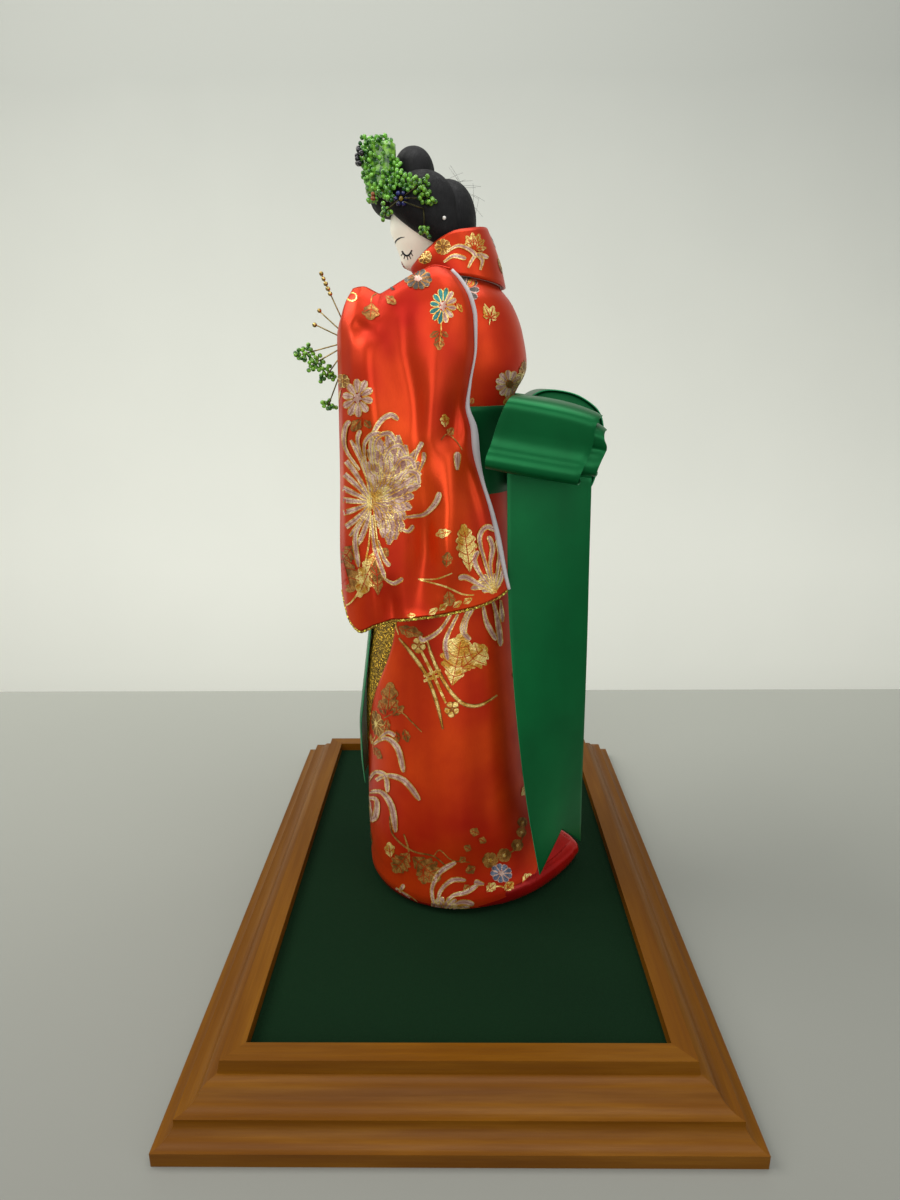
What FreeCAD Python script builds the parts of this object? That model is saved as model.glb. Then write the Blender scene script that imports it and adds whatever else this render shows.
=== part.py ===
import FreeCAD, Part

import math
import os

import Sketcher
from FreeCAD import Placement, Rotation, Vector

# Standing doll in a silk kimono on a moulded wooden display base.
# Millimetres. The base's underside is at Z 0 and centred on the origin.
# The doll faces -Y, and its left side is +X.

# Driving dimensions
SIZES = {
    # Display base
    "base_length": 330.0,
    "base_width": 240.0,
    "rail_width": 31.1,
    "rail_height": 27.8,
    "lip_thickness": 5.6,
    "rebate_width": 6.0,
    "nose_height": 6.5,
    "cove_width": 7.5,
    "cove_height": 6.7,
    "quirk_height": 1.4,
    "quirk_width": 1.3,
    "ogee_width": 12.6,
    "ogee_height": 7.5,
    "bead_lean": 1.0,
    "felt_thickness": 1.0,
    "panel_thickness": 6.0,
    "corner_block_leg": 36.0,
    "corner_block_height": 9.0,
    "joint_gap": 0.2,
    # Stand inside the figure
    "rod_diameter": 5.0,
    "rod_length": 250.0,
    "rod_gap": 0.2,
    "nut_across_flats": 10.0,
    "nut_height": 4.0,
    "washer_diameter": 24.0,
    "washer_thickness": 1.5,
    # Skirt and body padding
    "waist_height": 240.0,
    "skirt_half_width": 50.0,
    "skirt_front": 51.0,
    "skirt_train": 71.0,
    "cloth_thickness": 2.0,
    "hem_roll_height": 13.0,
    "torso_height": 78.0,
    "torso_half_width": 36.0,
    "torso_front": 31.0,
    "torso_back": 34.6,
    "soft_gap": 0.3,
    "opening_foot_height": 80.0,
    "opening_knee_height": 154.0,
    "opening_foot_half_width": 5.0,
    "opening_knee_half_width": 24.0,
    "front_panel_thickness": 1.0,
    # Ribbons
    "ribbon_thickness": 0.8,
    "obi_ribbon_width": 40.0,
    "front_ribbon_width": 24.0,
    "front_ribbon_foot_height": 45.7,
    "obi_thickness": 1.6,
    "drum_depth": 41.0,
    "drum_height": 46.0,
    "loop_reach": 57.5,
    "loop_height": 30.0,
    "loop_rise": 25.0,
    "loop_offset": 6.0,
    "loop_sweep": 12.7,
    "loop_drop": 7.4,
    "loop_bend_radius": 6.0,
    "loop_spacing": 4.0,
    "tail_foot_height": 20.7,
    "tail_offset": 30.0,
    "tail_notch": 18.0,
    # Collar
    "collar_half_width": 23.5,
    "collar_half_depth": 18.8,
    "collar_offset": -3.5,
    "collar_height": 25.3,
    "collar_thickness": 1.6,
    "under_collar_thickness": 0.8,
    "under_collar_show": 1.0,
    "lapel_width": 13.0,
    "lapel_thickness": 0.8,
    # Arms and sleeves
    "shoulder_drop": 17.0,
    "arm_radius": 5.5,
    "wrist_radius": 3.6,
    "elbow_spread": 46.0,
    "arm_reach": 38.0,
    "hand_length": 14.0,
    "sleeve_inner_offset": 38.5,
    "sleeve_thickness": 19.0,
    "sleeve_fold_depth": 2.4,
    "sleeve_length": 147.0,
    "sleeve_front": 54.0,
    "sleeve_back": 24.0,
    "piping_width": 2.4,
    "piping_thickness": 1.2,
    "sleeve_cord_diameter": 1.6,
    # Head and hair
    "neck_radius": 6.5,
    "neck_offset": -7.0,
    "neck_show": 2.5,
    "peg_radius": 2.5,
    "peg_length": 12.0,
    "head_half_width": 15.0,
    "head_half_depth": 18.0,
    "head_half_height": 18.5,
    "head_offset": -12.0,
    "hair_gap": 0.15,
    "cap_thickness": 1.5,
    "wing_offset": 14.0,
    "wing_half_width": 8.2,
    "wing_half_depth": 15.0,
    "wing_half_height": 16.0,
    "knot_half_width": 12.0,
    "knot_half_depth": 9.5,
    "knot_half_height": 11.5,
    "front_roll_half_width": 13.0,
    "front_roll_radius": 9.5,
    "back_roll_half_width": 17.0,
    "back_roll_half_depth": 13.5,
    "back_roll_half_height": 17.5,
    # Beadwork
    "bead_diameter": 2.1,
    "bead_gap": 0.12,
    "wire_diameter": 0.6,
    "crown_height": 24.5,
    "crown_half_width": 8.6,
    "crown_half_depth": 9.4,
    "crown_offset": 12.5,
    "dangle_length": 10.4,
    "spray_reach": 19.0,
    "spray_height": 27.0,
}

# Outline of the skirt: share of the way from the hem roll to the waist, then shares of the skirt front,
# the train and the half width, and the taper of the back
SKIRT_SHARES = [
    (0.000, 0.98, 0.90, 0.99, 1.8),
    (0.044, 1.00, 0.79, 0.98, 1.6),
    (0.132, 1.00, 0.65, 0.95, 1.3),
    (0.264, 0.99, 0.56, 0.91, 1.1),
    (0.418, 0.95, 0.51, 0.86, 1.0),
    (0.559, 0.87, 0.47, 0.80, 1.0),
    (0.727, 0.77, 0.425, 0.745, 1.0),
    (0.903, 0.66, 0.390, 0.71, 1.0),
    (1.000, 0.61, 0.385, 0.69, 1.0),
]
# Outline of the padded hem: shares of its height, skirt front, train and half width, then the taper
HEM_SHARES = [
    (0.00, 0.86, 0.90, 0.90, 1.8),
    (0.25, 0.95, 0.97, 0.97, 1.8),
    (0.60, 1.00, 1.00, 1.00, 1.8),
    (1.00, 0.98, 0.90, 0.99, 1.8),
]
# Outline of the upper body: shares of the torso's height, front, back and half width, then the taper
TORSO_SHARES = [
    (0.000, 1.00, 0.790, 0.958, 1.0),
    (0.256, 0.98, 0.800, 0.958, 1.0),
    (0.490, 0.94, 1.000, 0.986, 1.0),
    (0.680, 0.86, 0.930, 1.000, 1.0),
    (0.833, 0.75, 0.790, 0.944, 1.0),
    (0.936, 0.63, 0.600, 0.750, 1.0),
    (1.000, 0.52, 0.480, 0.520, 1.0),
]
# Sleeve seen from the side. Back and front edges: share of the way down, then the edge's place
# as a share of the sleeve's back or front reach.
SLEEVE_BACK_SHARES = [
    (0.00, -0.08), (0.03, 0.08), (0.08, 0.25), (0.14, 0.33), (0.22, 0.34), (0.33, 0.24), (0.40, 0.19),
    (0.47, 0.30), (0.54, 0.34), (0.63, 0.46), (0.73, 0.64), (0.83, 0.78), (0.93, 0.90), (1.00, 1.00),
]
SLEEVE_FRONT_SHARES = [(0.00, 0.83), (0.05, 0.90), (0.12, 0.94), (0.30, 0.95), (0.60, 0.97), (0.90, 1.00), (1.00, 1.00)]
# Top and lower edges: share of the way from front to back, then the height below the shoulder
# as a share of the sleeve's length.
SLEEVE_TOP_SHARES = [
    (0.00, 0.09), (0.04, 0.062), (0.14, 0.058), (0.24, 0.070), (0.30, 0.078), (0.38, 0.068), (0.52, 0.045),
    (0.72, 0.016), (0.86, 0.006), (1.00, 0.014),
]
SLEEVE_FOOT_SHARES = [
    (0.00, 0.955), (0.02, 1.00), (0.06, 1.048), (0.12, 1.070), (0.22, 1.045), (0.36, 1.030), (0.54, 1.018),
    (0.72, 1.002), (0.86, 0.985), (1.00, 0.958),
]
# Thickness: share of the way down, then the share of the sleeve's thickness and of its fold depth
SLEEVE_FULLNESS_SHARES = [
    (0.00, 0.30, 0.1), (0.03, 0.52, 0.2), (0.10, 0.74, 0.4), (0.25, 0.86, 0.7), (0.60, 0.94, 1.0), (1.00, 1.00, 1.25),
]
# Thickness across: share of the way from front to back, then the share of the thickness there
SLEEVE_ACROSS_SHARES = [(0.00, 0.22), (0.05, 0.62), (0.15, 0.90), (0.45, 1.00), (0.80, 0.86), (0.94, 0.60), (1.00, 0.30)]
# Bow drum seen from the side: share of its depth behind the obi, share of its height from the waist
DRUM_SHARES = [
    (0.00, -0.36), (0.00, 0.41), (0.15, 0.54), (0.32, 0.60), (0.62, 0.56), (0.81, 0.47), (0.95, 0.36), (1.00, 0.17),
    (0.99, -0.05), (0.90, -0.37), (0.86, -0.41), (0.04, -0.41),
]
# Rounded end of a loop: shares of the bend radius back from the tip and down from the top
BEND_SHARES = [(1.0, 0.0), (0.62, 0.08), (0.30, 0.30), (0.08, 0.62), (0.0, 1.0)]
# Tail ribbon: share of its length, sideways and rearward drift as shares of its width, and turn in degrees
TAIL_SHARES = [
    (0.00, 0.06, 0.00, 6.0),
    (0.25, 0.10, 0.02, 8.0),
    (0.50, 0.13, 0.08, 20.0),
    (0.78, 0.08, 0.19, 36.0),
    (1.00, -0.02, 0.32, 49.0),
]
# Front ribbon: share of its length, then its place in front as a share of the skirt front
FRONT_RIBBON_SHARES = [
    (0.00, 0.685), (0.12, 0.750), (0.24, 0.805), (0.36, 0.860), (0.46, 0.905), (0.60, 0.966), (0.70, 1.010),
    (0.80, 1.045), (0.90, 1.045), (1.00, 1.025),
]
# Collar: share of its half depth from front to back, then the rise of its rim and the height of its foot
# above the foot of the back, as shares of its height
COLLAR_SHARES = [
    (-1.00, 0.24, 0.16), (-0.50, 0.55, 0.14), (-0.16, 0.72, 0.12), (0.19, 0.84, 0.10), (0.54, 0.90, 0.06), (1.00, 1.00, 0.00),
]
# Profile of a rounded wad: share of its height and of its half sizes
WAD_SHARES = [(0.00, 0.22), (0.07, 0.52), (0.24, 0.86), (0.50, 1.00), (0.76, 0.86), (0.93, 0.52), (1.00, 0.22)]
# Profile of the head: share of the half height from the middle, then shares of the half width and half depth
HEAD_SHARES = [
    (-1.00, 0.30, 0.45), (-0.88, 0.48, 0.68), (-0.60, 0.74, 0.78), (-0.30, 0.92, 0.90), (0.00, 1.00, 1.00),
    (0.40, 0.95, 0.95), (0.78, 0.70, 0.70), (1.00, 0.26, 0.26),
]
# Bead spray: shares of its reach and height at the tip, and pairs of leaf beads
SPRIG_SHARES = [(1.20, -0.19, 2), (0.95, -0.37, 2), (0.66, -0.56, 2), (0.62, -1.04, 1)]
# Wires with gold beads: shares of its reach and height at the tip, and beads up the wire
PIN_SHARES = [(0.62, 1.04, 5), (0.71, 0.48, 1), (0.84, 0.26, 1)]

RING_SIDES = 28
HAIR_SIDES = 16
LIMB_SIDES = 8
SLEEVE_COLUMNS = 20
SLEEVE_ROWS = 12
SLEEVE_FOLDS = 3.5
COLLAR_FRONT_ANGLE = 62.0
LOOP_LEAN = 0.35
COLLAR_STEPS = 24
LAPEL_STEPS = 12
CROWN_ROWS = 9


class Size:
    """A driving dimension, or a sum or share of some, with the spreadsheet expression that gives it."""

    def __init__(self, value, text):
        self.value = value
        self.text = text

    def __add__(self, other):
        return Size(self.value + other.value, f"({self.text} + {other.text})")

    def __sub__(self, other):
        return Size(self.value - other.value, f"({self.text} - {other.text})")

    def __mul__(self, share):
        return Size(self.value * share, f"({self.text} * {share})")

    def __truediv__(self, share):
        return Size(self.value / share, f"({self.text} / {share})")


class Sheet:
    """The spreadsheet of driving dimensions. Each is read as an attribute: a Size bound to its cell."""

    def __init__(self, document, values):
        self.cells = document.addObject("Spreadsheet::Sheet", "Sizes")
        for row, (name, value) in enumerate(values.items(), start=1):
            self.cells.set(f"A{row}", name)
            self.cells.set(f"B{row}", str(value))
            self.cells.setAlias(f"B{row}", name)
        document.recompute()

    def __getattr__(self, name):
        return Size(float(self.cells.get(name)), f"Sizes.{name}")


doc = FreeCAD.newDocument("Doll")
size = Sheet(doc, SIZES)
pieces = []


def mm(name):
    """The plain value of a driving dimension."""
    return getattr(size, name).value


def bind(item, **sizes):
    """Binds each named property of a document object to a spreadsheet expression."""
    for name, length in sizes.items():
        item.setExpression(name.replace("__", "."), length.text)


def keep(item, label):
    """Names a document object as a piece to write out."""
    item.Label = label
    pieces.append(item)
    return item


def shaped(label, shape):
    """Adds a piece whose shape is worked out here from the sheet's values."""
    item = doc.addObject("Part::Feature", label)
    item.Shape = shape
    return keep(item, label)


def primitive(kind, name, **sizes):
    item = doc.addObject(kind, name)
    bind(item, **sizes)
    return item


def cut(label, base, *tools):
    """Cuts one document object by others, one after the next."""
    for number, tool in enumerate(tools):
        result = doc.addObject("Part::Cut", f"{label}_cut_{number}")
        result.Base = base
        result.Tool = tool
        base = result
    return keep(base, label)


def origin_plane(body, role):
    return next(plane for plane in body.Origin.OriginFeatures if plane.Role == role)


def sketch_on(body, role, name):
    sketch = body.newObject("Sketcher::SketchObject", name)
    sketch.AttachmentSupport = [(origin_plane(body, role), "")]
    sketch.MapMode = "FlatFace"
    return sketch


def arc_between(first, last, radius, side):
    """An arc from one point to the next, bulging to the left of the way when side is 1, else to the right."""
    chord = last - first
    rise = radius - math.sqrt(radius * radius - chord.Length * chord.Length / 4)
    across = Vector(-chord.y, chord.x, 0).normalize()
    return Part.Arc(first, (first + last) / 2 + across * rise * side, last)


def draw(sketch, outline):
    """Draws a closed outline of (x, y, radius, side) corners and binds each corner and radius to the sheet.

    The radius and side belong to the stretch that leaves the corner, and are None where it is straight.
    """
    corners = [Vector(x.value, y.value, 0) for x, y, radius, side in outline]
    starts = []
    ends = []
    for index, (x, y, radius, side) in enumerate(outline):
        first = corners[index]
        last = corners[(index + 1) % len(corners)]
        if radius is None:
            number = sketch.addGeometry(Part.LineSegment(first, last), False)
        else:
            number = sketch.addGeometry(arc_between(first, last, radius.value, side), False)
        forward = sketch.getPoint(number, 1).distanceToPoint(first) < sketch.getPoint(number, 2).distanceToPoint(first)
        starts.append((number, 1 if forward else 2))
        ends.append((number, 2 if forward else 1))
    for index in range(len(outline)):
        follower = starts[(index + 1) % len(outline)]
        sketch.addConstraint(Sketcher.Constraint("Coincident", *ends[index], *follower))
    for index, (x, y, radius, side) in enumerate(outline):
        for kind, length in (("DistanceX", x), ("DistanceY", y)):
            number = sketch.addConstraint(Sketcher.Constraint(kind, -1, 1, *starts[index], length.value))
            sketch.setExpression(f"Constraints[{number}]", length.text)
        if radius is not None:
            number = sketch.addConstraint(Sketcher.Constraint("Radius", starts[index][0], radius.value))
            sketch.setExpression(f"Constraints[{number}]", radius.text)


NOTHING = Size(0.0, "0")


# Display base

def rail(label, length, turn, away):
    """One mitred rail of the moulding. Its own X runs along it and its own Y goes inward."""
    body = doc.addObject("PartDesign::Body", label)
    width = size.rail_width
    height = size.rail_height
    cove_top = size.nose_height + size.cove_height
    step_top = cove_top + size.quirk_height
    ogee_in = size.cove_width + size.quirk_width
    ogee_middle = ogee_in + size.ogee_width / 2
    ogee_half_top = step_top + size.ogee_height / 2
    bead_in = ogee_in + size.ogee_width
    ogee_top = step_top + size.ogee_height
    cove_radius = (size.cove_width + size.cove_height) / 2
    ogee_radius = size.ogee_width * 0.55
    lip_under = height - size.lip_thickness
    rebate_in = width - size.rebate_width
    profile = sketch_on(body, "YZ_Plane", f"{label}_profile")
    draw(profile, [
        (NOTHING, NOTHING, None, None),
        (rebate_in, NOTHING, None, None),
        (rebate_in, lip_under, None, None),
        (width, lip_under, None, None),
        (width, height, None, None),
        (bead_in + size.bead_lean, height, None, None),
        (bead_in, ogee_top, ogee_radius, -1),
        (ogee_middle, ogee_half_top, ogee_radius, 1),
        (ogee_in, step_top, None, None),
        (size.cove_width, step_top, None, None),
        (size.cove_width, cove_top, cove_radius, 1),
        (NOTHING, size.nose_height, None, None),
    ])
    stock = body.newObject("PartDesign::Pad", f"{label}_stock")
    stock.Profile = profile
    stock.Midplane = True
    bind(stock, Length=length)
    doc.recompute()
    mitres = sketch_on(body, "XY_Plane", f"{label}_mitres")
    over = size.rail_height
    for end in (1, -1):
        tip = length * (0.5 * end)
        draw(mitres, [
            (tip + over * end, NOTHING - over, None, None),
            (tip + over * end, width + over, None, None),
            (tip - (width + over) * end, width + over, None, None),
        ])
    saw = body.newObject("PartDesign::Pocket", f"{label}_saw")
    saw.Profile = mitres
    saw.Type = "ThroughAll"
    saw.Reversed = True
    body.Tip = saw
    body.Placement.Rotation = Rotation(Vector(0, 0, 1), turn)
    # The outer face lies at half the base's size away from the middle
    heading = Rotation(Vector(0, 0, 1), turn).multVec(Vector(0, -1, 0))
    bind(body, Placement__Base__x=away * round(heading.x), Placement__Base__y=away * round(heading.y))
    return keep(body, label)


def display_base():
    rail("front_rail", size.base_length, 0, size.base_width / 2)
    rail("left_rail", size.base_width, 90, size.base_length / 2)
    rail("back_rail", size.base_length, 180, size.base_width / 2)
    rail("right_rail", size.base_width, 270, size.base_length / 2)
    inset = size.rail_width - size.rebate_width + size.joint_gap
    lip_under = size.rail_height - size.lip_thickness
    layers = (
        ("felt_sheet", lip_under - size.felt_thickness, size.felt_thickness),
        ("base_panel", lip_under - size.felt_thickness - size.panel_thickness, size.panel_thickness),
    )
    for label, bottom, thickness in layers:
        board = primitive("Part::Box", f"{label}_board", Length=size.base_length - inset * 2,
                          Width=size.base_width - inset * 2, Height=thickness,
                          Placement__Base__x=inset - size.base_length / 2,
                          Placement__Base__y=inset - size.base_width / 2, Placement__Base__z=bottom)
        bore = primitive("Part::Cylinder", f"{label}_bore", Radius=size.rod_diameter / 2 + size.rod_gap,
                         Height=thickness * 3, Placement__Base__z=bottom - thickness)
        cut(label, board, bore)


def corner_blocks():
    """Glue blocks behind the mitres, under the panel."""
    inset = mm("rail_width") - mm("rebate_width")
    top = felt_top() - mm("felt_thickness") - mm("panel_thickness")
    leg = mm("corner_block_leg")
    blocks = []
    for side_x in (1, -1):
        for side_y in (1, -1):
            corner = Vector(side_x * (mm("base_length") / 2 - inset), side_y * (mm("base_width") / 2 - inset), top)
            outline = [corner, corner - Vector(side_x * leg, 0, 0), corner - Vector(0, side_y * leg, 0), corner]
            face = Part.Face(Part.makePolygon(outline))
            blocks.append(face.extrude(Vector(0, 0, -mm("corner_block_height"))))
    shaped("corner_blocks", Part.makeCompound(blocks))


def felt_top():
    return mm("rail_height") - mm("lip_thickness")


def stand():
    """The threaded rod that holds the figure, clamped to the panel by a nut and a washer below and above."""
    panel_bottom = size.rail_height - size.lip_thickness - size.felt_thickness - size.panel_thickness
    rod_bottom = panel_bottom - size.washer_thickness - size.nut_height * 2
    rod = primitive("Part::Cylinder", "rod", Radius=size.rod_diameter / 2, Height=size.rod_length,
                    Placement__Base__z=rod_bottom)
    keep(rod, "stand_rod")
    radius = mm("rod_diameter") / 2 + mm("rod_gap") / 2
    places = (
        (panel_bottom.value - mm("washer_thickness"), panel_bottom.value - mm("washer_thickness") - mm("nut_height")),
        (felt_top(), felt_top() + mm("washer_thickness")),
    )
    for label, washer_bottom, nut_bottom in zip(("lower_stand_nut", "upper_stand_nut"), *zip(*places)):
        disc = Part.makeCylinder(mm("washer_diameter") / 2, mm("washer_thickness"), Vector(0, 0, washer_bottom))
        corners = [Vector(mm("nut_across_flats") / math.sqrt(3), 0, nut_bottom) for corner in range(7)]
        turned = [Rotation(Vector(0, 0, 1), 60 * index).multVec(corner) for index, corner in enumerate(corners)]
        hexagon = Part.Face(Part.makePolygon(turned)).extrude(Vector(0, 0, mm("nut_height")))
        bore = Part.makeCylinder(radius, mm("rail_height"), Vector(0, 0, min(washer_bottom, nut_bottom)))
        shaped(label, Part.makeCompound([disc.cut(bore), hexagon.cut(bore)]))


# Faceted forms

def facet(first, second, third):
    return Part.Face(Part.makePolygon([first, second, third, first]))


def joined(first, second):
    """Triangles between two closed rings that have the same number of points."""
    faces = []
    for index, point in enumerate(first):
        following = (index + 1) % len(first)
        faces.append(facet(point, first[following], second[following]))
        faces.append(facet(point, second[following], second[index]))
    return faces


def solid_of(faces):
    solid = Part.Solid(Part.Shell(faces))
    if solid.Volume < 0:
        solid.reverse()
    return solid


def capped(rings):
    """A faceted solid through rings of points, closed at both ends."""
    faces = []
    for first, second in zip(rings, rings[1:]):
        faces.extend(joined(first, second))
    for end, forward in ((rings[0], False), (rings[-1], True)):
        centre = sum(end, Vector()) / len(end)
        for index, point in enumerate(end):
            following = end[(index + 1) % len(end)]
            faces.append(facet(centre, point, following) if forward else facet(centre, following, point))
    return solid_of(faces)


def hollow(outer, inner):
    """A faceted shell between an outer and an inner stack of rings, open at both ends."""
    rings = list(outer) + list(reversed(inner)) + [outer[0]]
    faces = []
    for first, second in zip(rings, rings[1:]):
        faces.extend(joined(first, second))
    return solid_of(faces)


def between(table, place):
    """The values of a table of rows at a place between its rows, the first value of each being the place."""
    for low, high in zip(table, table[1:]):
        if place <= high[0]:
            break
    share = (place - low[0]) / (high[0] - low[0])
    return [first + (last - first) * share for first, last in zip(low[1:], high[1:])]


def row_at(rows, height):
    return tuple([height] + between(rows, height))


def ring(height, front, back, half_width, taper, sides=RING_SIDES):
    """Points round a body section: a half ellipse in front, and behind it one whose sides taper to the tip."""
    result = []
    for index in range(sides):
        turn = 2 * math.pi * index / sides
        across = math.cos(turn)
        along = math.sin(turn)
        narrowed = abs(across) ** (taper if along > 0 else 1.0)
        result.append(Vector(math.copysign(narrowed, across) * half_width,
                             along * (back if along > 0 else front), height))
    return result


def rings_of(rows):
    return [ring(*row) for row in rows]


def grown(rows, outward):
    return [(height, front + outward, back + outward, half + outward, taper) for height, front, back, half, taper in rows]


def prism(points, heading):
    """A solid between a closed outline of points and the same outline moved along a heading."""
    return Part.Face(Part.makePolygon(list(points) + [points[0]])).extrude(heading)


def inset(points, distance, normal):
    """An outline moved inward. The outline runs anticlockwise seen against its normal."""
    result = []
    count = len(points)
    for index, point in enumerate(points):
        before = normal.cross((point - points[index - 1]).normalize())
        after = normal.cross((points[(index + 1) % count] - point).normalize())
        result.append(point + (before + after) * (distance / (1 + before.dot(after))))
    return result


def banded(points, thickness, normal, heading):
    """A closed band of ribbon: its outline seen edge-on, its thickness inward, and its width along the heading."""
    inner = inset(points, thickness, normal)
    return hollow([points, [point + heading for point in points]], [inner, [point + heading for point in inner]])


# Skirt and upper body

def waist_level():
    return felt_top() + mm("waist_height")


def skirt_rows():
    foot = felt_top() + mm("hem_roll_height")
    return [(foot + (waist_level() - foot) * up, mm("skirt_front") * front, mm("skirt_train") * back,
             mm("skirt_half_width") * half, taper) for up, front, back, half, taper in SKIRT_SHARES]


def hem_rows():
    return [(felt_top() + mm("hem_roll_height") * up, mm("skirt_front") * front, mm("skirt_train") * back,
             mm("skirt_half_width") * half, taper) for up, front, back, half, taper in HEM_SHARES]


def torso_rows():
    return [(waist_level() + mm("torso_height") * up, mm("torso_front") * front, mm("torso_back") * back,
             mm("torso_half_width") * half, taper) for up, front, back, half, taper in TORSO_SHARES]


def shoulder_level():
    """The height of the upper body's top edge."""
    return waist_level() + mm("torso_height")


def opening(narrower):
    """The gap between the kimono's front edges, from the hem fold up to the waist."""
    foot = felt_top() + mm("opening_foot_height")
    knee = felt_top() + mm("opening_knee_height")
    top = waist_level() * 1.1
    low = mm("opening_foot_half_width") - narrower
    wide = mm("opening_knee_half_width") - narrower
    front = -mm("skirt_front") * 2
    outline = [(-low, foot), (low, foot), (wide, knee), (wide, top), (-wide, top), (-wide, knee)]
    return prism([Vector(x, front, z) for x, z in outline], Vector(0, -front, 0))


def skirt():
    rows = skirt_rows()
    cloth = mm("cloth_thickness")
    gap = mm("soft_gap")
    inside = rings_of(grown(rows, -cloth))
    shaped("kimono_skirt", hollow(rings_of(rows), inside).cut(opening(0)))
    # Gold cloth shows between the front edges, a little below the kimono's surface
    sunk = rings_of(grown(rows, mm("front_panel_thickness") - cloth))
    shaped("front_panel", hollow(sunk, inside).common(opening(mm("joint_gap"))))
    hem = hem_rows()
    roll = mm("hem_roll_height")
    shaped("hem_roll", hollow(rings_of(hem), rings_of(grown([hem[0], (hem[-1][0],) + hem[0][1:]], -roll))))
    # The padding stands on the felt inside the hem roll and widens above it
    foot = grown([hem[0]], -roll - gap)[0]
    ledge = (rows[0][0] + gap,) + foot[1:]
    body = grown([row_at(rows, ledge[0])] + rows[1:], -cloth - gap)
    core = capped(rings_of([foot, ledge] + body))
    bore = Part.makeCylinder(mm("rod_diameter") / 2 + mm("rod_gap"), waist_level() * 2)
    nut_room = Part.makeCylinder(mm("washer_diameter") / 2 + gap, mm("washer_thickness") + mm("nut_height") + gap,
                                 Vector(0, 0, felt_top()))
    shaped("lower_core", core.cut(bore).cut(nut_room))


def upper_body():
    rows = torso_rows()
    cloth = mm("cloth_thickness")
    gap = mm("soft_gap")
    shell = hollow(rings_of(rows), rings_of(grown(rows, -cloth)))
    core = capped(rings_of(grown(rows, -cloth - gap)))
    for side in (1, -1):
        socket = arm_solid(side, gap)
        shell = shell.cut(socket)
        core = core.cut(socket)
    shaped("kimono_torso", shell)
    neck = Vector(0, mm("neck_offset"), rows[-1][0] - mm("peg_length") - gap)
    peg_socket = Part.makeCylinder(mm("peg_radius") + mm("rod_gap"), mm("peg_length") * 2, neck)
    rod_room = Part.makeCylinder(mm("rod_diameter") / 2 + mm("rod_gap"), rod_top() + gap)
    shaped("torso_core", core.cut(rod_room).cut(peg_socket))


def rod_top():
    panel_bottom = felt_top() - mm("felt_thickness") - mm("panel_thickness")
    return panel_bottom - mm("washer_thickness") - mm("nut_height") * 2 + mm("rod_length")


# Arms, hands and sleeves

def tube(points, radii, sides=LIMB_SIDES, flat=1.0):
    """A faceted limb or wire along a few points, with a section square to the way at each."""
    rings = []
    for index, point in enumerate(points):
        before = points[max(index - 1, 0)]
        after = points[min(index + 1, len(points) - 1)]
        heading = (after - before).normalize()
        sideways = heading.cross(Vector(0, 0, 1))
        if sideways.Length < math.sin(math.radians(5)):
            sideways = Vector(1, 0, 0)
        sideways.normalize()
        upward = sideways.cross(heading)
        corners = []
        for corner in range(sides):
            turn = 2 * math.pi * (corner + 0.5) / sides
            corners.append(point + sideways * math.cos(turn) * radii[index] * flat
                           + upward * math.sin(turn) * radii[index])
        rings.append(corners)
    return capped(rings)


def arm_points(side):
    shoulder = shoulder_level() - mm("shoulder_drop")
    spread = mm("elbow_spread")
    reach = mm("arm_reach")
    drop = mm("arm_radius")
    return [
        Vector(side * spread * 0.62, 0, shoulder),
        Vector(side * spread * 0.94, -reach * 0.12, shoulder - drop * 0.3),
        Vector(side * spread, -reach * 0.50, shoulder - drop),
        Vector(side * spread * 0.84, -reach, shoulder - drop * 1.3),
    ]


def arm_solid(side, extra):
    thick = mm("arm_radius") + extra
    thin = mm("wrist_radius") + extra
    return tube(arm_points(side), [thick, thick, (thick + thin) / 2, thin])


def hand_points(side):
    elbow, wrist = arm_points(side)[-2:]
    inward = Vector(-side * 0.82, -0.45, -0.36).normalize()
    start = wrist + (wrist - elbow).normalize() * (mm("wrist_radius") * 0.62 + mm("soft_gap"))
    return [start, start + inward * mm("hand_length") * 0.5, start + inward * mm("hand_length")]


def sleeve_point(across, down):
    """A place on the sleeve seen from the side: from front to back, and from top to lower edge."""
    front = -mm("sleeve_front") * between(SLEEVE_FRONT_SHARES, down)[0]
    back = mm("sleeve_back") * between(SLEEVE_BACK_SHARES, down)[0]
    top = between(SLEEVE_TOP_SHARES, across)[0]
    foot = between(SLEEVE_FOOT_SHARES, across)[0]
    level = shoulder_level() - mm("sleeve_length") * (top + (foot - top) * down)
    return front + (back - front) * across, level


def sleeve_face(across, down):
    """How far out the sleeve's outer face stands there, with its soft hanging folds."""
    full, folded = between(SLEEVE_FULLNESS_SHARES, down)
    wave = math.sin(2 * math.pi * SLEEVE_FOLDS * across)
    rim = min(1.0, min(across, 1 - across) * 6)
    return (mm("sleeve_inner_offset") + mm("sleeve_thickness") * full * between(SLEEVE_ACROSS_SHARES, across)[0]
            + mm("sleeve_fold_depth") * folded * wave * rim)


def crowded(count):
    """Shares from 0 to 1, closer together near both ends."""
    steps = [index / count for index in range(count + 1)]
    return [step - math.sin(2 * math.pi * step) / 10 for step in steps]


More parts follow.
